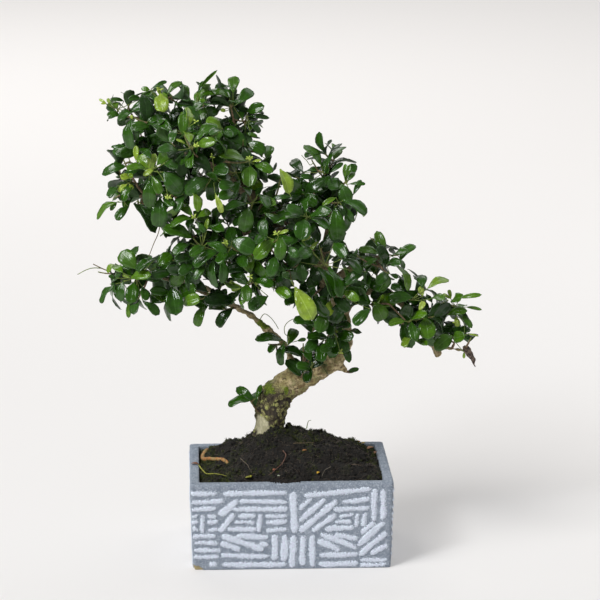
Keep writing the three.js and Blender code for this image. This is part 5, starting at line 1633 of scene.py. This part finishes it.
def carried(places, steps):
    """The course of a stalk through some places, grown from the twig or stalk nearest its first one"""
    start = nearest(carriers, places[0])
    apart = np.linalg.norm(start - places[0]) > 1
    curve = through([start, *places] if apart else [start, *places[1:]])
    return np.array([curve(t) for t in np.linspace(0, 1, steps)])


for depth, thickness, greenness, places in SHOOTS:
    path = carried([seen_at(*place, depth) for place in places], SHOOT_STEPS)
    tuft_runs.append((path, thickness * np.linspace(1, 0.8, SHOOT_STEPS), np.full(SHOOT_STEPS, greenness)))
    carriers = np.concatenate([carriers, path])
for across, down, depth, buds in BUD_CLUSTERS:
    middle = seen_at(across, down, depth)
    if np.linalg.norm(nearest(carriers, middle) - middle) > 1:
        tuft_runs.append((carried([middle], 4), (0.4, 0.34, 0.34, 0.4), np.ones(4)))
tuft_stems = stems("tuft_stems", tuft_runs, twig_bark, sides=6)
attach(tuft_stems, "root")

BUD = {"shortest": 2.6, "longest": 4.6, "rings": (0.05, 0.3, 0.55, 0.8, 1), "radii": (0.3, 0.32, 0.75, 0.6, 0.1)}
bud_parts = []
for number, (across, down, depth, buds) in enumerate(BUD_CLUSTERS):
    middle = seen_at(across, down, depth)
    for bud in range(buds):
        turn = bud * GOLDEN_ANGLE + number
        rise = 1 - 2 * (bud + 0.5) / buds
        level = math.sqrt(1 - rise * rise)
        way = np.array([level * math.cos(turn), level * math.sin(turn), 0.7 * rise + 0.3])
        size = mix(BUD["shortest"], BUD["longest"], chance(number, bud, 5))
        bud_parts.append(swept([middle + way * size * t for t in BUD["rings"]], BUD["radii"], 7))
bud_green, tree = new_material("bud_green")
flecks = blotched(tree, size=1.6, low=0.4, high=0.62)
principled(tree, Base_Color=blend(tree, flecks, (0.34, 0.5, 0.05), (0.62, 0.72, 0.16)), Roughness=0.5,
           Normal=bumped(tree, flecks, 0.1))
flower_buds = linked(mesh_from("flower_buds", *joined(bud_parts)), "flower_buds", bud_green)
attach(flower_buds, "root")


# THE WITHERED LEAF. One dead leaf, dry, brown and crumpled, still hangs from the end of the lowest shoot on
# the right. It is a closed roll, flattened in places and crushed by noise.
WITHERED = {"length": 23, "width": 12, "foot": (166, 7, 195), "along": (0.5, -0.1, -0.86)}
ROLLED_ROWS, ROLLED_SIDES = 22, 14
axis = unit(np.array(WITHERED["along"]))
width_way = unit(np.cross(UP, axis))
face = np.cross(axis, width_way)
turns_round = np.linspace(0, 2 * np.pi, ROLLED_SIDES, endpoint=False)
u, turn = np.meshgrid(np.linspace(0, 1, ROLLED_ROWS), turns_round, indexing="ij")
girth = WITHERED["width"] / 2 * (0.1 + np.sin(np.pi * np.clip(u, 0.02, 0.99) ** 0.7) ** 0.8 * (1 - 0.55 * u))
flat_by = 0.42 + 0.3 * np.sin(9 * u + 3 * np.cos(turn))
offset_y, offset_z = girth * np.cos(turn), girth * np.sin(turn) * flat_by
bow = 1.6 * np.sin(np.pi * u)
place_on = u[..., None] * WITHERED["length"] * axis + offset_y[..., None] * width_way
place_on = place_on + (offset_z + bow)[..., None] * face + np.array(WITHERED["foot"])
rolled = place_on.reshape(-1, 3)
rolled += 1.5 * drift(rolled, 4.5)
rolled = np.vstack([rolled, rolled[:ROLLED_SIDES].mean(0), rolled[-ROLLED_SIDES:].mean(0)])
rolled_mesh = mesh_from("withered_leaf_rolled", rolled, tube_faces(ROLLED_ROWS, ROLLED_SIDES))
dry, tree = new_material("dry_leaf")
patches = blotched(tree, size=2.5, low=0.38, high=0.62)
principled(tree, Base_Color=blend(tree, patches, (0.05, 0.038, 0.035), (0.3, 0.22, 0.17)), Roughness=0.9,
           Normal=bumped(tree, patches, 0.3))
withered = linked(rolled_mesh, "withered_leaf_rolled", dry)
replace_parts(withered, "withered_leaf")
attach(withered, "root")
for blade in list(blades.objects):
    bpy.data.objects.remove(blade)
